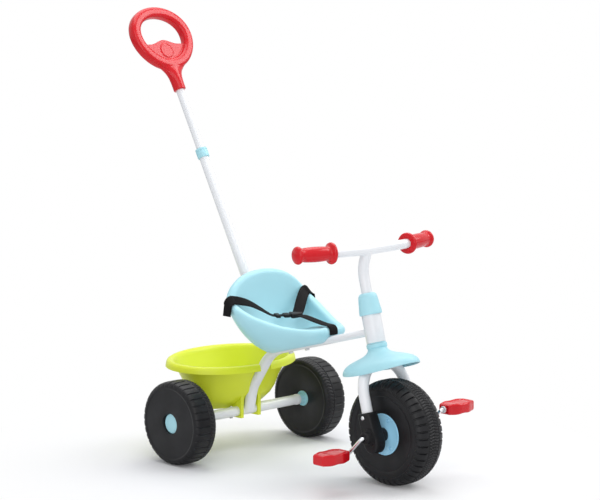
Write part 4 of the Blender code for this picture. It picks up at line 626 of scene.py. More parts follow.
ring_line = [
    Vector((RING_HALF_WIDTH * u * (1 + RING_TAPER * v), 0, RING_CENTRE + RING_HALF_HEIGHT * v))
    for u, v in turn_of(RING_STEPS)
]
ring_rings = []
for k, middle in enumerate(ring_line):
    run = ring_line[(k + 1) % RING_STEPS] - ring_line[k - 1]
    outward = Vector((run.z, 0, -run.x)).normalized()
    ring = []
    for u, v in turn_of(28):
        a, b = squared(u, v, RING_SQUARENESS)
        ring.append(middle + outward * (RING_TUBE * a * 0.985) + Vector((0, RING_TUBE * b * 0.94, 0)))
    ring_rings.append(ring)
push_handle = skin("handle_moulding", ring_rings, closed=True)
ring_foot = RING_CENTRE - RING_HALF_HEIGHT
neck_levels = [
    (NECK_START, NECK_RADIUS, NECK_RADIUS), (NECK_START + 0.01, NECK_RADIUS, NECK_RADIUS),
    (NECK_START + 0.02, NECK_RADIUS + 0.0003, NECK_RADIUS), (ring_foot - 0.034, 0.017, 0.0137),
    (ring_foot - 0.026, 0.02, 0.0132), (ring_foot - 0.02, 0.0235, 0.0128),
    (ring_foot - 0.015, 0.0275, 0.0124), (ring_foot - 0.01, 0.0325, 0.012),
    (ring_foot - 0.005, 0.0385, 0.0116), (ring_foot, 0.044, 0.01),
    (ring_foot + 0.003, 0.046, 0.008),
]
neck_rings = [[(wide * u, deep * v, level) for u, v in turn_of(48)] for level, wide, deep in neck_levels]
neck = skin("neck", neck_rings, capped=True)
edge = []
for k in range(41):
    share = k / 20 - 1
    lift = WEB_HUMP * 0.5 * (1 + cos(pi * min(1, abs(share) / 0.55)))
    edge.append((RING_HALF_WIDTH * 0.97 * share, RING_CENTRE + WEB_TOP + lift))
under = [(p.x, p.z) for p in ring_line if p.z < RING_CENTRE + WEB_TOP - 0.002]
under.sort(key=lambda point: -point[0])
outline = edge + under
web = skin("web", [[(x, y, z) for x, z in outline] for y in (-WEB_HALF, WEB_HALF)], capped=True)
boss_place = Matrix.Translation((0, 0, RING_CENTRE - BOSS_DROP)) @ Matrix.Rotation(pi / 2, 4, "X")
boss = rod("boss", BOSS_WIDE, -BOSS_THICK / 2, BOSS_THICK / 2, 48, boss_place)
combine(push_handle, "UNION", neck, web, boss)
change(push_handle, "REMESH", mode="VOXEL", voxel_size=0.0012)
change(push_handle, "SMOOTH", factor=0.5, iterations=3)
bore = rod("bore", pole_bore, NECK_START - 0.01, NECK_START + BORE_DEPTH, 48)
combine(push_handle, "DIFFERENCE", bore)
settle(push_handle, POLE)
fit(push_handle, red_plastic, "push_bar", "push_handle", crease=50)

# Fork
# One steel tube bent to a U carries the front wheel between its legs. The steerer tube is welded to its
# crown and passes up through the head tube. Both are powder-coated white.
LEG_X = 0.066
FORK_TUBE = 0.012
SHOULDER = 0.0896
LEG_FOOT = 0.028
LEG_BREAK = 0.06

fork_run = [Vector((LEG_X, 0, LEG_FOOT)), Vector((LEG_X, 0, LEG_BREAK))]
crown = [pi * k / 28 for k in range(29)]
fork_run += [Vector((LEG_X * cos(a), 0, SHOULDER + LEG_X * sin(a))) for a in crown]
fork_run += [Vector((-LEG_X, 0, LEG_BREAK)), Vector((-LEG_X, 0, LEG_FOOT))]
fork = drawn("fork_tube", fork_run, FORK_TUBE)
settle(fork, STEERING)
fit(fork, white_paint, "steering", "fork")
steerer = copied("steerer_tube", "steerer")
fit(steerer, white_paint, "steering", "steerer_tube")

# Fender
# A light blue moulding held between the fork's crown and the head tube: a grooved neck and a bell that
# flares into a long brim over the wheel, turned up a little at both ends and open below.
FENDER_HALF_LENGTH = 0.098
FENDER_HALF_WIDTH = 0.069
FENDER_WALL = 0.003
FENDER_GROOVE = 0.0012
NECK_OUTER = 0.0225
NECK_HEIGHT = 0.0105
END_DROP = 0.0543
SIDE_DROP = 0.061
END_CURVE = ((0.074, 0.361), (1.0, 0.214))
SIDE_CURVE = ((0.1, 0.305), (0.98, 0.387))
STEERER_RADIUS = 0.014
FENDER_STEPS = 22
fender_top = HEAD_BASE - 0.0027
bell_top = fender_top - NECK_HEIGHT


def bezier(controls, steps):
    """Points along one cubic curve, both ends included."""
    a, b, c, d = (Vector(point) for point in controls)
    return [
        a * (1 - t) ** 3 + b * (3 * t * (1 - t) ** 2) + c * (3 * t * t * (1 - t)) + d * t**3
        for t in [k / steps for k in range(steps + 1)]
    ]


def fender_column(u, v, inset):
    """The fender's section in one direction, from its neck down to the brim."""
    bell = NECK_OUTER - FENDER_GROOVE - inset
    end, side = v * v, u * u
    root = Vector((bell * u, bell * v, bell_top - FENDER_GROOVE - inset * 0.4))
    drop = Vector((0, 0, -END_DROP * end - SIDE_DROP * side))
    brim = Vector(((FENDER_HALF_WIDTH - inset) * u, (FENDER_HALF_LENGTH - inset) * v, fender_top)) + drop
    run = Vector((brim.x - root.x, brim.y - root.y, 0))
    bends = []
    for (end_run, end_fall), (side_run, side_fall) in zip(END_CURVE, SIDE_CURVE):
        reached = end_run * end + side_run * side
        fallen = end_fall * end + side_fall * side
        bends.append(root + run * reached + drop * fallen)
    return bezier([root, *bends, brim], FENDER_STEPS)


FENDER_NECK = (
    (STEERER_RADIUS + FIT_GAP, fender_top), (NECK_OUTER - 0.0008, fender_top),
    (NECK_OUTER - 0.0002, fender_top - 0.0003), (NECK_OUTER, fender_top - 0.001),
    (NECK_OUTER, bell_top + 0.003), (NECK_OUTER - 0.0003, bell_top + 0.0022),
    (NECK_OUTER - 0.0016, bell_top + 0.0014), (NECK_OUTER - 0.0016, bell_top + 0.0002),
)
columns = []
for u, v in turn_of(96):
    outer = [Vector((radius * u, radius * v, level)) for radius, level in FENDER_NECK]
    outer += fender_column(u, v, 0.0)
    inner = fender_column(u, v, FENDER_WALL)
    for k, point in enumerate(inner):
        point.z -= 0.8 * FENDER_WALL * (1 - (k / FENDER_STEPS) ** 2)
    top_ring = Vector(((STEERER_RADIUS + FIT_GAP) * u, (STEERER_RADIUS + FIT_GAP) * v, bell_top - 0.004))
    columns.append(outer + list(reversed(inner)) + [top_ring])
fender = skin("fender_moulding", list(zip(*columns)), closed=True)
soften(fender, 0.0009, 3, 50)
settle(fender, STEERING)
fit(fender, sky_plastic, "steering", "fender", crease=60)

# Collar
# A light blue domed cap turns with the stem over the head tube's top. A screw from behind goes through it
# and locks the stem in the steerer.
STEM_RADIUS = 0.0118
collar_base = head_top - 0.0006
collar_top = head_top + 0.0465
collar_profile = [
    (STEM_RADIUS + FIT_GAP, collar_top - 0.0006), (STEM_RADIUS + 0.0012, collar_top),
    (0.0148, collar_top - 0.0003), (0.0172, collar_top - 0.0017), (0.0192, collar_top - 0.0044),
    (0.0205, collar_top - 0.008), (0.0213, collar_top - 0.0125), (0.0221, collar_top - 0.019),
    (0.0235, collar_base + 0.0145), (0.0243, collar_base + 0.01), (0.0247, collar_base + 0.004),
    (0.0246, collar_base + 0.0008), (0.024, collar_base), (HEAD_RADIUS + 0.0007, collar_base),
    (HEAD_RADIUS + 0.0007, head_top + 0.0027), (STEERER_RADIUS + 0.0004, head_top + 0.0027),
    (STEERER_RADIUS + 0.0004, head_top + 0.043), (STEM_RADIUS + FIT_GAP, head_top + 0.043),
    (STEM_RADIUS + FIT_GAP, collar_top - 0.0006),
]
collar = turned("stem_collar", collar_profile, 72)
settle(collar, STEERING)
fit(collar, sky_plastic, "steering", "upper_collar", crease=50)

# Stem and handlebar
# The stem is a steel tube that leans forward to the bar and is welded to its middle. The bar sweeps a
# little back and up to the grips. Both carry the frame's white coat.
STEM_TOP = 0.394
STEM_FORWARD = 0.0243
STEM_BEND = 0.328
BAR_RADIUS = 0.0105
BAR_BEND = 0.035
bar_centre = Vector((0, -STEM_FORWARD, STEM_TOP))
rise = STEM_TOP - STEM_BEND
stem_run = [Vector((0, 0, head_top + 0.0023)), Vector((0, 0, STEM_BEND - 0.01))]
stem_lean = bar_centre + Vector((0, 0.75 * STEM_FORWARD, -0.4 * rise))
stem_run += bezier([(0, 0, STEM_BEND), (0, 0, STEM_BEND + 0.45 * rise), stem_lean, bar_centre], 20)
knee = bar_centre + Vector((0.108, -0.012, 0.002))
grip_way = Vector((0.082, 0.018, 0.006)).normalized()
grip_start = knee + grip_way * 0.006
bar_tip = grip_start + grip_way * 0.0897
mirror = Vector((-1, 1, 1))
bar_run = rounded([bar_tip * mirror, knee * mirror, bar_centre, knee, bar_tip], BAR_BEND, 10)
handlebar = drawn("handlebar_tube", bar_run, BAR_RADIUS)
stem = drawn("stem_tube", stem_run, STEM_RADIUS)
shape(stem, "DIFFERENCE", handlebar)
for piece, node in ((handlebar, "handlebar"), (stem, "stem")):
    settle(piece, STEERING)
    fit(piece, white_paint, "steering", node)

# Grips
# Red moulded grips pushed over the bar's ends: a round guard next to the hand, a barrel that swells in
# the middle with a shallow groove at each end, and a mushroom end that covers the tube.
SIDES = (("left", 1), ("right", -1))
GRIP_LENGTH = 0.096


def fill(piece, low=-1, high=1):
    """Puts a face across the open edges between two heights."""
    edit(piece, "DESELECT")
    bpy.ops.mesh.select_non_manifold()
    bpy.ops.object.mode_set(mode="OBJECT")
    for vertex in piece.data.vertices:
        vertex.select = vertex.select and low < vertex.co.z < high
    for edge in piece.data.edges:
        edge.select = all(piece.data.vertices[number].select for number in edge.vertices)
    bpy.ops.object.mode_set(mode="EDIT")
    bpy.ops.mesh.edge_face_add()
    bpy.ops.object.mode_set(mode="OBJECT")


grip_profile = [(0.0006, GRIP_LENGTH)]
for k in range(1, 13):
    turn = pi * k / 14
    wide = 0.0193 * sin(turn) ** 0.7
    if turn > pi / 2:
        wide = max(wide, 0.015)
    grip_profile.append((wide, GRIP_LENGTH - 0.009 + 0.009 * cos(turn)))
waist_high, waist_low = GRIP_LENGTH - 0.02, 0.013
grip_profile += [(0.0149, waist_high), (0.0146, waist_high - 0.0012)]
for k in range(1, 14):
    share = k / 14
    level = (waist_high - 0.002) * (1 - share) + (waist_low + 0.002) * share
    grip_profile.append((0.0152 + 0.0013 * sin(pi * share), level))
grip_profile += [
    (0.0146, waist_low + 0.0012), (0.0149, waist_low), (0.0172, 0.0098), (0.0205, 0.009),
    (0.0226, 0.0078), (0.0235, 0.0052), (0.0235, 0.0038), (0.0226, 0.0012), (0.0205, 0.0),
    (BAR_RADIUS + FIT_GAP, 0.0), (BAR_RADIUS + FIT_GAP, GRIP_LENGTH - 0.006),
    (0.0006, GRIP_LENGTH - 0.006),
]
for side, way in SIDES:
    grip = turned(f"grip_moulding_{side}", grip_profile, 64)
    fill(grip)
    close_up(grip)
    mirror = Vector((way, 1, 1))
    turn = (grip_way * mirror).to_track_quat("Z", "Y").to_matrix().to_4x4()
    settle(grip, STEERING @ Matrix.Translation(grip_start * mirror) @ turn)
    fit(grip, red_plastic, "steering", f"grip_{side}", crease=55)

# Bearing blocks
# A black moulding is bolted round the foot of each fork leg. Its rounded lower end holds the cranked axle,
# with a stepped boss where the crank comes out.
BLOCK_INNER = 0.052
BLOCK_THICK = 0.03
BLOCK_ROUND = 0.0038
SOCKET_TOP = 0.052
NECK_HALF = 0.0165
TONGUE_HALF = 0.02
TONGUE_AXIS = -0.01
TONGUE_FOOT = -0.036
BOSS_RADIUS = 0.013
BOSS_LENGTH = 0.014
CRANK_PLAY = 0.0044
BOLT_HOLE = 0.0028
BOLT_HEIGHT = 0.042

grain = Finish("black_plastic", {"Specular IOR Level": 0.22})
grain.paint("Base Color", grain.mix(grain.noise(25, 3), (0.006, 0.006, 0.007), (0.011, 0.011, 0.012)))
grain.paint("Roughness", 0.4 + 0.16 * grain.noise(120, 3))
grain.relief(grain.noise(1100, 2), 0.00008, 0.4)
outline = [(NECK_HALF, SOCKET_TOP), (-NECK_HALF, SOCKET_TOP)]
for k in range(33):
    a = pi + pi * k / 32
    outline.append((TONGUE_HALF * cos(a) - FORK_OFFSET, TONGUE_AXIS + (TONGUE_AXIS - TONGUE_FOOT) * sin(a)))
outer = BLOCK_INNER + BLOCK_THICK
for side, way in SIDES:
    sheets = [[(way * x, y, z) for y, z in outline] for x in (BLOCK_INNER, outer)]
    block = skin(f"axle_block_{side}", sheets, capped=True)
    soften(block, BLOCK_ROUND, 4, 30)
    boss_profile = [
        (0.0183, outer - 0.006), (0.0178, outer + 0.0022), (BOSS_RADIUS + 0.001, outer + 0.003),
        (BOSS_RADIUS, outer + BOSS_LENGTH - 0.0015), (BOSS_RADIUS - 0.0015, outer + BOSS_LENGTH),
        (0.0075, outer + BOSS_LENGTH), (0.0075, outer + BOSS_LENGTH - 0.001),
    ]
    boss = turned("boss", boss_profile, 56, ends=True)
    axle_way = sideways(way, (0, -FORK_OFFSET, 0))
    settle(boss, axle_way)
    leg_place = Matrix.Translation((way * LEG_X, 0, 0))
    leg = rod("leg", FORK_TUBE + FIT_GAP, LEG_FOOT - FIT_GAP, 0.07, 56, leg_place)
    axle_hole = rod("hole", CRANK_PLAY, 0.04, 0.11, 32, axle_way)
    bolt_hole = rod("bolt_hole", BOLT_HOLE, 0.0555, 0.1, 24, sideways(way, (0, 0, BOLT_HEIGHT)))
    combine(block, "UNION", boss)
    combine(block, "DIFFERENCE", leg, axle_hole, bolt_hole)
    settle(block, STEERING)
    fit(block, grain, "steering", f"bearing_block_{side}")

# Front tyre
# A hollow blow-moulded plastic wheel: smooth sides with one shallow ring, shoulders cut by cross slots,
# and a middle band of fine zigzag ribs. The tread is part of the moulding.
FRONT_WIDTH = 0.079
HUB_RADIUS = 0.045
LUGS = 44
RIBS = 110
FRONT_AXLE = Matrix.Translation((0, REAR_AXLE - WHEELBASE, FRONT_RADIUS))
half = FRONT_WIDTH / 2

rubber = Finish("tyre_plastic", {"Specular IOR Level": 0.24})
dust = rubber.ramp(rubber.noise(26, 4), [(0.42, 0.0), (0.75, 1.0)])
rubber.paint("Base Color", rubber.mix(dust, (0.007, 0.007, 0.008), (0.013, 0.013, 0.015)))
rubber.paint("Roughness", 0.34 + 0.14 * rubber.noise(90, 3))
rubber.relief(rubber.noise(900, 2), 0.0001, 0.35)


def step(value, low, high):
    """Nought below low, one above high, and a smooth rise between."""
    share = min(1, max(0, (value - low) / (high - low)))
    return share * share * (3 - 2 * share)


def tread(piece, place, depth_at):
    """Presses the tread into a turned tyre: every point moves towards the axle by the depth there."""
    for vertex in piece.data.vertices:
        angle = atan2(vertex.co.y, vertex.co.x)
        radius = hypot(vertex.co.x, vertex.co.y)
        sunk = radius - depth_at(angle, vertex.co.z, radius)
        vertex.co.x, vertex.co.y = sunk * cos(angle), sunk * sin(angle)
    settle(piece, place)


def front_depth(angle, level, radius):
    side = abs(level)
    turn = angle / (2 * pi) + 0.5
    if radius < 0.088:
        return 0
    saw = abs(((side / 0.012) % 2) - 1)
    rib = abs(((turn * RIBS + 0.55 * saw) % 1) - 0.5) * 2
    band = 1 - step(side, 0.012, 0.0135)
    lug = abs(((turn * LUGS + (0.25 if level > 0 else 0.75)) % 1) - 0.5) * 2
    slot = (1 - step(lug, 0.12, 0.26)) * step(side, 0.016, 0.018)
    ring = step(side, 0.0125, 0.0135) * (1 - step(side, 0.015, 0.016))
    fade = step(radius, 0.0955, 0.0985)
    return band * 0.002 * (1 - step(rib, 0.25, 0.6)) + fade * slot * 0.0032 + ring * 0.0016


outer_side = [
    (0.115, 0.0), (0.115, 0.012), (0.1146, 0.014), (0.1142, 0.0165), (0.1136, 0.0195),
    (0.1126, 0.023), (0.1112, 0.0265), (0.1093, 0.03), (0.1068, 0.0335), (0.1038, 0.0362),
    (0.1004, 0.0382), (0.0978, 0.0391), (0.0966, 0.039), (0.0958, 0.0382), (0.0948, 0.0381),
    (0.092, 0.0389), (0.0885, 0.0394), (0.085, 0.0395), (0.0832, 0.0393), (0.0822, 0.0386),
    (0.0815, 0.0379), (0.0805, 0.0378), (0.079, 0.0381), (0.074, 0.0384), (0.065, 0.0383),
    (0.056, 0.038), (0.049, 0.0378), (0.0464, 0.0374), (0.0456, 0.0366), (0.0456, 0.0323),
    (0.02, 0.0323),
]


def finer(profile, longest):
    """The same section with more points where its steps are long."""
    line = [profile[0]]
    for (r0, z0), (r1, z1) in zip(profile, profile[1:]):
        parts = max(1, int(hypot(r1 - r0, z1 - z0) / longest + 0.5)) if r1 > 0.088 else 1
        line += [(r0 + (r1 - r0) * k / parts, z0 + (z1 - z0) * k / parts) for k in range(1, parts + 1)]
    return line


side_line = finer(outer_side, 0.0012)
tyre_profile = side_line + [(r, -z) for r, z in reversed(side_line)]
front_tyre = turned("front_tyre_moulding", tyre_profile, LUGS * 10)
tread(front_tyre, FRONT_AXLE @ ACROSS, front_depth)
fit(front_tyre, rubber, "front_wheel", "front_tyre", crease=40)

# Front hub
# A light blue disc with a raised rim closes each side of the wheel and grips the cranked axle. Three
# studs hold it, and a black spacer keeps it off the bearing block.
hub_blue = moulded("hub_plastic", (0.35, 0.7, 0.93), 0.34)
HUB_INSET = 0.00285
CRANK_FIT = 0.0043
STUD_CIRCLE = 0.0345
STUD_TURN = radians(97)
hub_face = half - HUB_INSET
for side, way in SIDES:
    disc_profile = [
        (CRANK_FIT, hub_face - 0.028), (0.0197, hub_face - 0.028), (0.0197, hub_face - 0.004),
        (HUB_RADIUS, hub_face - 0.004), (HUB_RADIUS, hub_face + 0.0006),
        (HUB_RADIUS - 0.0007, hub_face + 0.0012), (HUB_RADIUS - 0.0024, hub_face + 0.0012),
        (HUB_RADIUS - 0.0034, hub_face + 0.0004), (HUB_RADIUS - 0.0042, hub_face), (0.0215, hub_face),
        (0.0205, hub_face + 0.0004), (CRANK_FIT, hub_face + 0.0004), (CRANK_FIT, hub_face - 0.028),
    ]
    disc = turned(f"hub_plate_{side}", disc_profile, 80)
    wheel = FRONT_AXLE @ sideways(way)
    for k in range(3):
        a = STUD_TURN + 2 * pi * k / 3
        spot = Matrix.Translation((STUD_CIRCLE * cos(a), STUD_CIRCLE * sin(a), hub_face))
        well = turned("well", [(0.0042, -0.0016), (0.0048, 0.004)], 28, ends=True)
        combine(disc, "DIFFERENCE", settle(well, spot))
        screw_profile = [(0.0034, -0.0019), (0.0034, -0.0006), (0.0022, 0.0002)]
        screw = turned(f"hub_screw_{side}_{k + 1}", screw_profile, 24, ends=True)
        settle(screw, spot)
        soften(screw, 0.0003, 2)
        settle(screw, wheel)
        fit(screw, hub_blue, "front_wheel", slot="sky_plastic")
    settle(disc, wheel)
    fit(disc, hub_blue, "front_wheel", f"hub_disc_{side}", slot="sky_plastic")
    near, far = hub_face + 0.0008, BLOCK_INNER - 0.0004
    spacer_profile = [(CRANK_FIT, near), (0.015, near), (0.015, near + 0.006)]
    spacer_profile += [(0.0138, far), (CRANK_FIT, far), (CRANK_FIT, near)]
    spacer = turned(f"hub_collar_{side}", spacer_profile, 48)
    soften(spacer, 0.0006, 2)
    settle(spacer, wheel)
    fit(spacer, grain, "front_wheel", f"hub_collar_{side}")

# Cranked axle
# One chromed steel rod goes through the wheel and is bent into a crank and a pedal pin on each side. The
# two cranks stand opposite each other, and all four bends are tight.
CRANK = 0.0509
CRANK_ANGLE = radians(-46.6)
CRANK_RADIUS = 0.004
CRANK_BEND = 0.006
pin = Vector((0, CRANK * cos(CRANK_ANGLE), CRANK * sin(CRANK_ANGLE)))
pin_tip = 0.1168 + 0.078 + 0.0034
elbow, wrist = Vector((0.1035, 0, 0)), Vector((0.1075, 0, 0))
tip = Vector((pin_tip, 0, 0))
crank_run = rounded([pin - tip, pin - wrist, -elbow, elbow, wrist - pin, tip - pin], CRANK_BEND)
chrome = plated("crank_steel", (0.78, 0.79, 0.81), 0.08, (1, 1, 1))
crank = drawn("crank_rod", crank_run, CRANK_RADIUS)
soften(crank, 0.0007, 3, 50)
settle(crank, FRONT_AXLE)
fit(crank, chrome, "front_wheel", "crank_axle")

# Pedals
# Long red mouldings, widest in the middle, dished above and below and soft at every edge, that spin on the
# crank's pins. The outer end closes over the nut, and a white bush keeps each pedal off the crank.
PEDAL_START = 0.1168
PEDAL_LENGTH = 0.0834
PEDAL_HALF_WIDTH = 0.0245
PEDAL_HALF_THICKNESS = 0.0125
PEDAL_ROUND = 0.0055
PEDAL_NARROWING = 0.36
PEDAL_WAVE = 0.05
PEDAL_DISH = 0.0022
NUT_POCKET = 0.0066
middle = PEDAL_START + PEDAL_LENGTH / 2
pedal_half = (PEDAL_LENGTH / 2, PEDAL_HALF_WIDTH, PEDAL_HALF_THICKNESS)
white_plastic = moulded("white_plastic", (0.8, 0.81, 0.83), 0.4, 0.03)


def bar_of(name, size, place=(0, 0, 0)):
    """A square-edged block, put in its place."""
    bpy.ops.object.select_all(action="DESELECT")
    bpy.ops.mesh.primitive_cube_add(size=1, location=place)
    made = bpy.context.object
    made.name = name
    made.scale = size
    return settle(made)


for side, way in SIDES:
    pedal = bar_of(f"pedal_moulding_{side}", [2 * size for size in pedal_half])
    edit(pedal)
    bpy.ops.mesh.subdivide(number_cuts=43)
    bpy.ops.object.mode_set(mode="OBJECT")
    for vertex in pedal.data.vertices:
        flats = [(at, size - PEDAL_ROUND) for at, size in zip(vertex.co, pedal_half)]
        core = Vector([max(-flat, min(flat, at)) for at, flat in flats])
        vertex.co = core + (vertex.co - core).normalized() * PEDAL_ROUND
        along = vertex.co.x / pedal_half[0]
        narrowed = 1 - PEDAL_NARROWING * step(abs(along), 0.22, 1.0)
        vertex.co.y *= narrowed
        vertex.co.z *= 1 - PEDAL_WAVE * (1 + cos(2 * pi * along))
        from_side = PEDAL_HALF_WIDTH * narrowed - abs(vertex.co.y)
        from_end = pedal_half[0] - abs(vertex.co.x)
        if abs(vertex.co.z) > 0.7 * PEDAL_HALF_THICKNESS:
            sunk = PEDAL_DISH * step(from_side, 0.004, 0.0075) * step(from_end, 0.005, 0.01)
            vertex.co.z -= sunk if vertex.co.z > 0 else -sunk
    settle(pedal, Matrix.Translation((way * middle, 0, 0)))
    pocket = PEDAL_START + PEDAL_LENGTH - 0.006
    bore_profile = [(CRANK_PLAY, PEDAL_START - 0.01), (CRANK_PLAY, pocket)]
    bore_profile += [(NUT_POCKET, pocket), (NUT_POCKET, pocket + 0.0048)]
    combine(pedal, "DIFFERENCE", settle(turned("bore", bore_profile, 32, ends=True), sideways(way)))
    settle(pedal, FRONT_AXLE @ Matrix.Translation(pin * -way))
    fit(pedal, red_plastic, f"{side}_pedal", f"pedal_{side}", crease=40)
    bush = copied(f"pedal_bush_{side}", f"pedal_washer_{side}")
    soften(bush, 0.0004, 2)
    fit(bush, white_plastic, f"{side}_pedal", f"pedal_bush_{side}")

# Rear wheels
# Smaller blow-moulded wheels with flat sides and shallow blocks on the shoulders. A light blue flanged
# bush runs on the axle rod, and a light blue cap is pressed into the outer side over the rod's end.
REAR_WIDTH = 0.0635
WHEEL_OUT = 0.2035
CAP_INSET = 0.0077
BLOCKS = 36


def rear_depth(angle, level, radius):
    if radius < 0.078:
        return 0
    side = abs(level)
    turn = angle / (2 * pi) + 0.5
    gap = abs(((turn * BLOCKS + (0.25 if level > 0 else 0.75)) % 1) - 0.5) * 2
    slot = (1 - step(gap, 0.1, 0.24)) * step(side, 0.0105, 0.0125)
    rib = abs(((turn * BLOCKS * 2 + 0.5 * abs(((side / 0.009) % 2) - 1)) % 1) - 0.5) * 2
    band = (1 - step(side, 0.007, 0.008)) * (1 - step(rib, 0.2, 0.5))
    ring = step(side, 0.0075, 0.0082) * (1 - step(side, 0.0094, 0.0102))
    return step(radius, 0.083, 0.087) * slot * 0.0018 + band * 0.0014 + ring * 0.0012


rear_side = [
    (0.0946, 0.0), (0.0945, 0.012), (0.0941, 0.018), (0.0932, 0.0225), (0.0915, 0.0262),
    (0.089, 0.0288), (0.0858, 0.0303), (0.0822, 0.031), (0.08, 0.0308), (0.079, 0.03),
    (0.077, 0.0299), (0.064, 0.0303),
]
outer_face = [(0.04, 0.0303), (0.027, 0.0301), (0.0238, 0.0297), (0.0232, 0.0288)]
outer_face += [(0.0232, 0.00625), (0.0123, 0.00625)]
inner_face = [(0.023, -0.0245), (0.0212, -0.024), (0.019, -0.0236), (0.0185, -0.0195), (0.0123, -0.0195)]
shoulder = finer(rear_side, 0.0013)
rear_profile = [*reversed(inner_face), *[(r, -z) for r, z in reversed(shoulder)]]
rear_profile += [*shoulder[1:], *outer_face, inner_face[-1]]
cap_face = REAR_WIDTH / 2 - CAP_INSET
for side, way in SIDES:
    wheel = sideways(way, (way * WHEEL_OUT, REAR_AXLE, REAR_RADIUS))
    body = f"rear_wheel_{side}"
    tyre = turned(f"rear_tyre_moulding_{side}", rear_profile, BLOCKS * 10)
    tread(tyre, wheel, rear_depth)
    fit(tyre, rubber, body, f"rear_tyre_{side}", crease=40)
    cap_profile = [
        (0.0201, 0.0066), (0.0226, 0.0066), (0.0226, cap_face - 0.0012), (0.0222, cap_face - 0.0004),
        (0.0212, cap_face), (0.0196, cap_face + 0.0002), (0.0186, cap_face - 0.0004),
        (0.015, cap_face + 0.0001), (0.008, cap_face + 0.0007), (0.0005, cap_face + 0.0009),
    ]
    cap = turned(f"wheel_cap_{side}", cap_profile, 64)
    fill(cap, cap_face)
    change(cap, "SOLIDIFY", thickness=0.0018, offset=-1)
    settle(cap, wheel)
    fit(cap, sky_plastic, body, f"rear_cap_{side}", crease=50)
    bush_profile = [
        (0.0054, 0.006), (0.012, 0.006), (0.012, -0.019), (0.0172, -0.02), (0.0178, -0.021),
        (0.0178, -0.024), (0.0172, -0.0247), (0.0165, -0.0247), (0.0158, -0.0238), (0.0146, -0.0225),
        (0.0134, -0.0228), (0.0126, -0.025), (0.0121, -0.029), (0.0119, -0.037), (0.0113, -0.0381),
        (0.0054, -0.0381), (0.0054, 0.006),
    ]
    bush = turned(f"wheel_bush_{side}", bush_profile, 56)
    settle(bush, wheel)
    fit(bush, sky_plastic, body, f"rear_bush_{side}", crease=50)

# Seat
# One light blue moulding that sits astride the main tube, held by two bolts from below: a bucket with a
# rolled rim, high behind and drawn to a blunt nose, with a hollow for each leg and a raised pommel between.
SEAT_RIM = (
    (0.000, -0.27, 0.0315), (0.032, -0.268, 0.029), (0.054, -0.246, 0.034), (0.078, -0.203, 0.0496),
    (0.099, -0.155, 0.0746), (0.111, -0.119, 0.0973), (0.115, -0.09, 0.1191), (0.112, -0.072, 0.141),
    (0.096, -0.062, 0.1637), (0.068, -0.056, 0.1823), (0.036, -0.053, 0.1921), (0.000, -0.052, 0.1954),
)
SEATED = Matrix.Translation((0, REAR_AXLE, 0))
SEAT_ROLL = 0.011
FLOOR_Y = -0.16
FLOOR_HALF_LENGTH = 0.05
FLOOR_HALF_WIDTH = 0.056
FLOOR_RISE = 0.0322
FLOOR_HOLLOW = 0.003
POMMEL_BACK = 0.03
POMMEL_RISE = 0.012
BASE_Y = -0.182
BASE_HALF_LENGTH = 0.076
BASE_HALF_WIDTH = 0.056


def through(points, steps):
    """A smooth line through points, with steps points for each run."""
    line = []
    for i in range(len(points) - 1):
        before = points[max(i - 1, 0)]
        start, end = points[i], points[i + 1]
        after = points[min(i + 2, len(points) - 1)]
        curl, twist = 2 * before - 5 * start + 4 * end - after, 3 * start - before - 3 * end + after
        for t in [k / steps for k in range(steps)]:
            line.append(0.5 * (2 * start + (end - before) * t + curl * t * t + twist * t**3))
    return line + [points[-1]]


rim_points = [Vector((x, y, tube_height(y) + up)) for x, y, up in SEAT_RIM]
rim_half = through(rim_points, 6)
rim_steps = len(rim_half) - 1
seat_floor = tube_height(FLOOR_Y) + FLOOR_RISE
down = Vector((0, 0, -1))
columns = []
for i in range(2 * rim_steps):
    k = min(i, 2 * rim_steps - i)
    way = 1 if i <= rim_steps else -1
    rim = rim_half[k].copy()
    rim.x *= way
    run = rim_half[min(k + 1, rim_steps)] - rim_half[max(k - 1, 0)]
    if k in (0, rim_steps):
        run = Vector((1, 0, 0)) * (1 if k == 0 else -1)
    outward = Vector((run.y, -run.x, 0)).normalized()
    outward.x *= way
    turn = pi * k / rim_steps
    base_y = BASE_Y - BASE_HALF_LENGTH * cos(turn)
    base = Vector((way * BASE_HALF_WIDTH * sin(turn), base_y, tube_height(base_y) - 0.004))
    ridge = max(0, cos(turn)) ** 8
    floor_y = FLOOR_Y - FLOOR_HALF_LENGTH * cos(turn) + POMMEL_BACK * ridge
    floor_point = Vector((way * FLOOR_HALF_WIDTH * sin(turn), floor_y, seat_floor + POMMEL_RISE * ridge))
    outer = rim + outward * SEAT_ROLL + down * SEAT_ROLL
    height = outer.z - base.z
    swell = sin(turn)
    low_bend = base.lerp(outer, 0.5 + 0.1 * swell)
    low_bend.z = base.z + height * (0.05 - 0.07 * swell)
    wall_out = bezier([base, low_bend, outer + down * height * (0.4 - 0.25 * swell), outer], 12)
    roll = [
        rim + outward * (SEAT_ROLL * cos(a)) + down * (SEAT_ROLL * (1 - sin(a)))
        for a in [0.3, 0.62, 0.95, 1.28, 1.6, 1.95, 2.3, 2.65]
    ]
    inner = rim - outward * SEAT_ROLL + down * (SEAT_ROLL * (1 - 0.7 * ridge))
    across = floor_point - inner
    well = floor_point * 0.4
    well += Vector((0, FLOOR_Y + POMMEL_BACK * ridge, 0)) * 0.6
    well.z = seat_floor - FLOOR_HOLLOW
    bends = [
        inner + Vector((across.x * 0.1, across.y * (0.1 + 0.4 * ridge), across.z * 0.6 * (1 - ridge))),
        floor_point - Vector((across.x * 0.35, across.y * 0.35, across.z * 0.25 * ridge)),
    ]
    wall_in = bezier([inner, *bends, floor_point], 12)
    columns.append(wall_out + roll + wall_in + [floor_point.lerp(well, 0.5), well])
seat = skin("seat_moulding", list(zip(*columns)), capped=True)
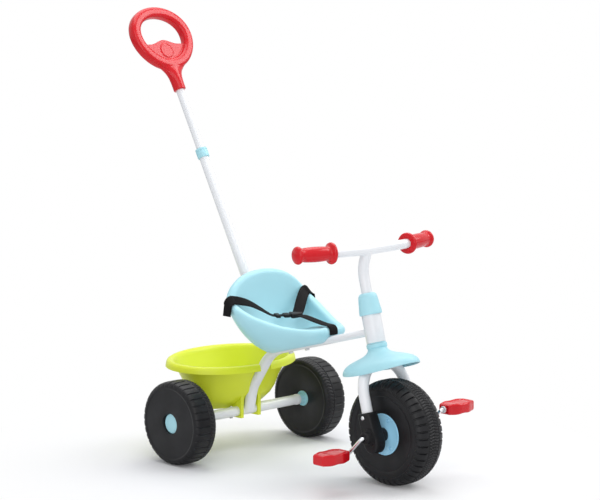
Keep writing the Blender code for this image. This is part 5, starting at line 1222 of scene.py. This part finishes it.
channel = drawn("channel", tube_run, 0, flat_oval(TUBE_WIDTH + 2 * FIT_GAP, TUBE_DEPTH + 2 * FIT_GAP))
settle(seat, SEATED)
combine(seat, "DIFFERENCE", channel)
settle(seat)
fit(seat, sky_plastic, "frame", "seat", crease=48)

# Harness
# Black woven webbing, 25 mm wide: a lap strap over each side of the seat and a crotch strap over its nose
# meet in a black buckle, and a slider takes up the spare length of the right-hand strap.
STRAP_WIDTH = 0.025
STRAP_THICK = 0.002
BUCKLE_HALF = 0.0123
SLIDER_ROOM = 0.0153

webbing = Finish("webbing", {"Specular IOR Level": 0.1})
lay = webbing.node("ShaderNodeUVMap", {"uv_map": "weave"}, {})
across_lay = webbing.node("ShaderNodeSeparateXYZ", {}, {0: lay}, "X")
along_lay = webbing.node("ShaderNodeSeparateXYZ", {}, {0: lay}, "Y")
warp = webbing.node("ShaderNodeMath", {"operation": "SINE"}, {0: across_lay * (2 * pi * 14)})
weft = webbing.node("ShaderNodeMath", {"operation": "SINE"}, {0: along_lay * (2 * pi * 16) + warp * 1.4})
thread = 0.5 + 0.28 * warp + 0.22 * weft
hem = webbing.node("ShaderNodeMath", {"operation": "ABSOLUTE"}, {0: across_lay - 0.5})
hem = webbing.ramp(hem, [(0.4, 0.0), (0.47, 1.0)])
dull = webbing.mix(thread, (0.004, 0.004, 0.004), (0.013, 0.012, 0.013))
webbing.paint("Base Color", webbing.blend(hem * 0.6, dull, (0.005, 0.005, 0.005, 1)))
webbing.paint("Roughness", 0.7 + 0.15 * webbing.noise(300, 2))
webbing.relief(thread, 0.0004, 0.8)


def band(name, points, across):
    """A strap through its points, its width lying across at each. The weave follows its length."""
    rings, lengths, travelled = [], [], 0.0
    for i, point in enumerate(points):
        ahead = (points[min(i + 1, len(points) - 1)] - points[max(i - 1, 0)]).normalized()
        side = Vector(across[i])
        side -= ahead * side.dot(ahead)
        side.normalize()
        up = ahead.cross(side).normalized()
        ring = []
        for way in (1, -1):
            for s, t in ((1, 0), (0.94, 0.85), (0.5, 1), (0, 1), (-0.5, 1), (-0.94, 0.85)):
                ring.append(point + side * (way * s * STRAP_WIDTH / 2) + up * (way * t * STRAP_THICK / 2))
        rings.append(ring)
        if i:
            travelled += (point - points[i - 1]).length
        lengths.append(travelled)
    piece = skin(name, rings, capped=True)
    half_way = [0.0, 0.03, 0.25, 0.5, 0.75, 0.97]
    share = [*half_way, 1.0, *reversed(half_way[1:])]
    weave = piece.data.uv_layers.new(name="weave")
    for loop in piece.data.loops:
        ring, at = divmod(loop.vertex_index, 12)
        weave.data[loop.index].uv = (share[at], lengths[ring] / STRAP_WIDTH)
    return piece


def eased(points, across, steps=6):
    """More points along a strap, and the same for the directions of its width."""
    return [through([Vector(item) for item in items], steps) for items in (points, across)]


buckle_at = Vector((0, FLOOR_Y, seat_floor + 0.041))
over_roll = SEAT_ROLL + 0.0008 + STRAP_THICK / 2
lap_over = SEAT_ROLL + 0.0032 + STRAP_THICK / 2
lap_rim = rim_half[38].lerp(rim_half[39], 0.3)
lap_run = rim_half[41] - rim_half[36]
lap_outward = Vector((lap_run.y, -lap_run.x, 0)).normalized()
lap_heart = lap_rim - Vector((0, 0, SEAT_ROLL))
to_rim = Vector((lap_heart.x - buckle_at.x, lap_heart.y - buckle_at.y, 0)).normalized()
for side, way in SIDES:
    mirror = Vector((way, 1, 1))
    end_away = BUCKLE_HALF + (SLIDER_ROOM if side == "right" else 0)
    lap_end = buckle_at + to_rim * end_away
    lap_turn = lap_end + to_rim * 0.02
    points = [lap_heart + lap_outward * (lap_over + 0.003) - Vector((0, 0, 0.02))]
    for a in (0, 0.5, 1.0, 1.5, 2.0):
        points.append(lap_heart + lap_outward * (lap_over * cos(a)) + Vector((0, 0, lap_over * sin(a))))
    ways = [lap_run.normalized()] * len(points)
    start = points[-1]
    flat = Vector((-to_rim.y, to_rim.x, 0))
    lead = start.lerp(lap_turn, 0.45)
    curve = bezier([start, (lead.x, lead.y, start.z - 0.002), lap_turn + to_rim * 0.012, lap_turn], 4)
    for k, point in enumerate(curve[1:], 1):
        points.append(point)
        ways.append(ways[0].lerp(flat, k / 4))
    points.append(lap_end)
    ways.append(flat)
    line, turns = eased([p * mirror for p in points], [w * mirror for w in ways])
    strap = band(f"lap_webbing_{side}", line, turns)
    settle(strap, SEATED)
    fit(strap, webbing, "frame", f"lap_strap_{side}", crease=60)
nose = rim_points[0]
nose_heart = nose - Vector((0, 0, SEAT_ROLL))
points = [buckle_at - Vector((0, BUCKLE_HALF, 0))]
points.append(points[0] - Vector((0, 0.02, 0)))
points.append(nose + Vector((0, 2 * SEAT_ROLL, over_roll - SEAT_ROLL + 0.0015)))
for a in (0.1, 0.5, 0.9, 1.25, pi / 2):
    points.append(nose_heart + Vector((0, -over_roll * sin(a), over_roll * cos(a))))
points.append(points[-1] - Vector((0, 0, 0.0065)))
line, turns = eased(points, [(1, 0, 0)] * len(points))
strap = band("crotch_webbing", line, turns)
settle(strap, SEATED)
fit(strap, webbing, "frame", "crotch_strap", crease=60)
for name, node, edge_width in (
    ("buckle_case", "buckle_body", 0.0012),
    ("buckle_prong", "buckle_tongue", 0.001),
    ("webbing_slider", "strap_slider", 0.0012),
):
    small = copied(node, name)
    soften(small, edge_width, 3, 30)
    fit(small, grain, "frame", node)

# Basket
# A lime bowl moulded in one piece, with a rolled lip and a channel up its front that clips round the main
# tube. Two tabs under it sit over the axle beam.
LIME = (0.74, 0.82, 0.03)
BASKET_Y = 0.051
BASKET_LEVELS = (
    (0.076, 0.029, 0.1005), (0.084, 0.0335, 0.1015), (0.09, 0.0362, 0.1035),
    (0.097, 0.0405, 0.1085), (0.1085, 0.059, 0.122), (0.1185, 0.0735, 0.14),
    (0.127, 0.0815, 0.162), (0.138, 0.0903, 0.1785), (0.147, 0.0973, 0.1905),
    (0.15, 0.0995, 0.1955), (0.1535, 0.1018, 0.201), (0.156, 0.104, 0.2042),
    (0.16, 0.1072, 0.2058), (0.164, 0.1106, 0.2058), (0.1672, 0.1134, 0.204),
    (0.169, 0.115, 0.201), (0.1702, 0.1162, 0.1965), (0.171, 0.117, 0.192),
)
BASKET_WALL = 0.003
RIM_RISE = 0.007
RIM_SLOPE = 0.005
CLIP = 0.008
CLIP_ROOM = 0.002
TAB_OUT = 0.02675
TAB_THICK = 0.0085
lime_plastic = moulded("lime_plastic", LIME, 0.33, 0.05)


def bowl_ring(half_x, half_y, level, count=96):
    """One ring of the bowl. Towards the lip the rings stand higher, most of all at the back."""
    share = step(level, 0.15, 0.2)
    return [
        Vector((half_x * u, BASKET_Y + half_y * v, level + share * (RIM_RISE + RIM_SLOPE * v)))
        for u, v in turn_of(count)
    ]


basket = skin("basket_moulding", [bowl_ring(*level) for level in BASKET_LEVELS])
fill(basket, high=0.10055)
close_up(basket)
change(basket, "SOLIDIFY", thickness=BASKET_WALL, offset=0)
inner_rings = [bowl_ring(x + 0.0005, y + 0.0005, z - 0.0003) for x, y, z in BASKET_LEVELS[:12]]
inside = skin("inside", inner_rings, capped=True)
settle(basket, SEATED)
settle(inside, SEATED)
wall = drawn("wall", tube_run, 0, flat_oval(TUBE_WIDTH + CLIP, TUBE_DEPTH + CLIP))
shape(wall, "INTERSECT", inside)
way_out = drawn("way_out", tube_run, 0, flat_oval(TUBE_WIDTH + CLIP_ROOM, TUBE_DEPTH + CLIP_ROOM))
notch = bar_of("notch", (TUBE_WIDTH + CLIP_ROOM, 0.033, 0.05), (0, REAR_AXLE + BASKET_Y - 0.1245, 0.2))
combine(basket, "UNION", wall)
combine(basket, "DIFFERENCE", way_out, notch)
low, high = REAR_RADIUS - BEAM_RADIUS - 0.0033, 0.132
front, back = -BEAM_RADIUS - 0.0038, 0.032
for way in (1, -1):
    size = (TAB_THICK, back - front, high - low)
    tab = bar_of("tab", size, (way * TAB_OUT, REAR_AXLE + (front + back) / 2, (low + high) / 2))
    shape(tab, "DIFFERENCE", inside)
    combine(basket, "UNION", tab)
bpy.data.objects.remove(inside, do_unlink=True)
combine(basket, "DIFFERENCE", rod("saddle", BEAM_RADIUS + FIT_GAP, -0.06, 0.06, 48, AXLE @ ACROSS))
settle(basket)
fit(basket, lime_plastic, "frame", "basket", crease=40)

low, high = cad_bounds
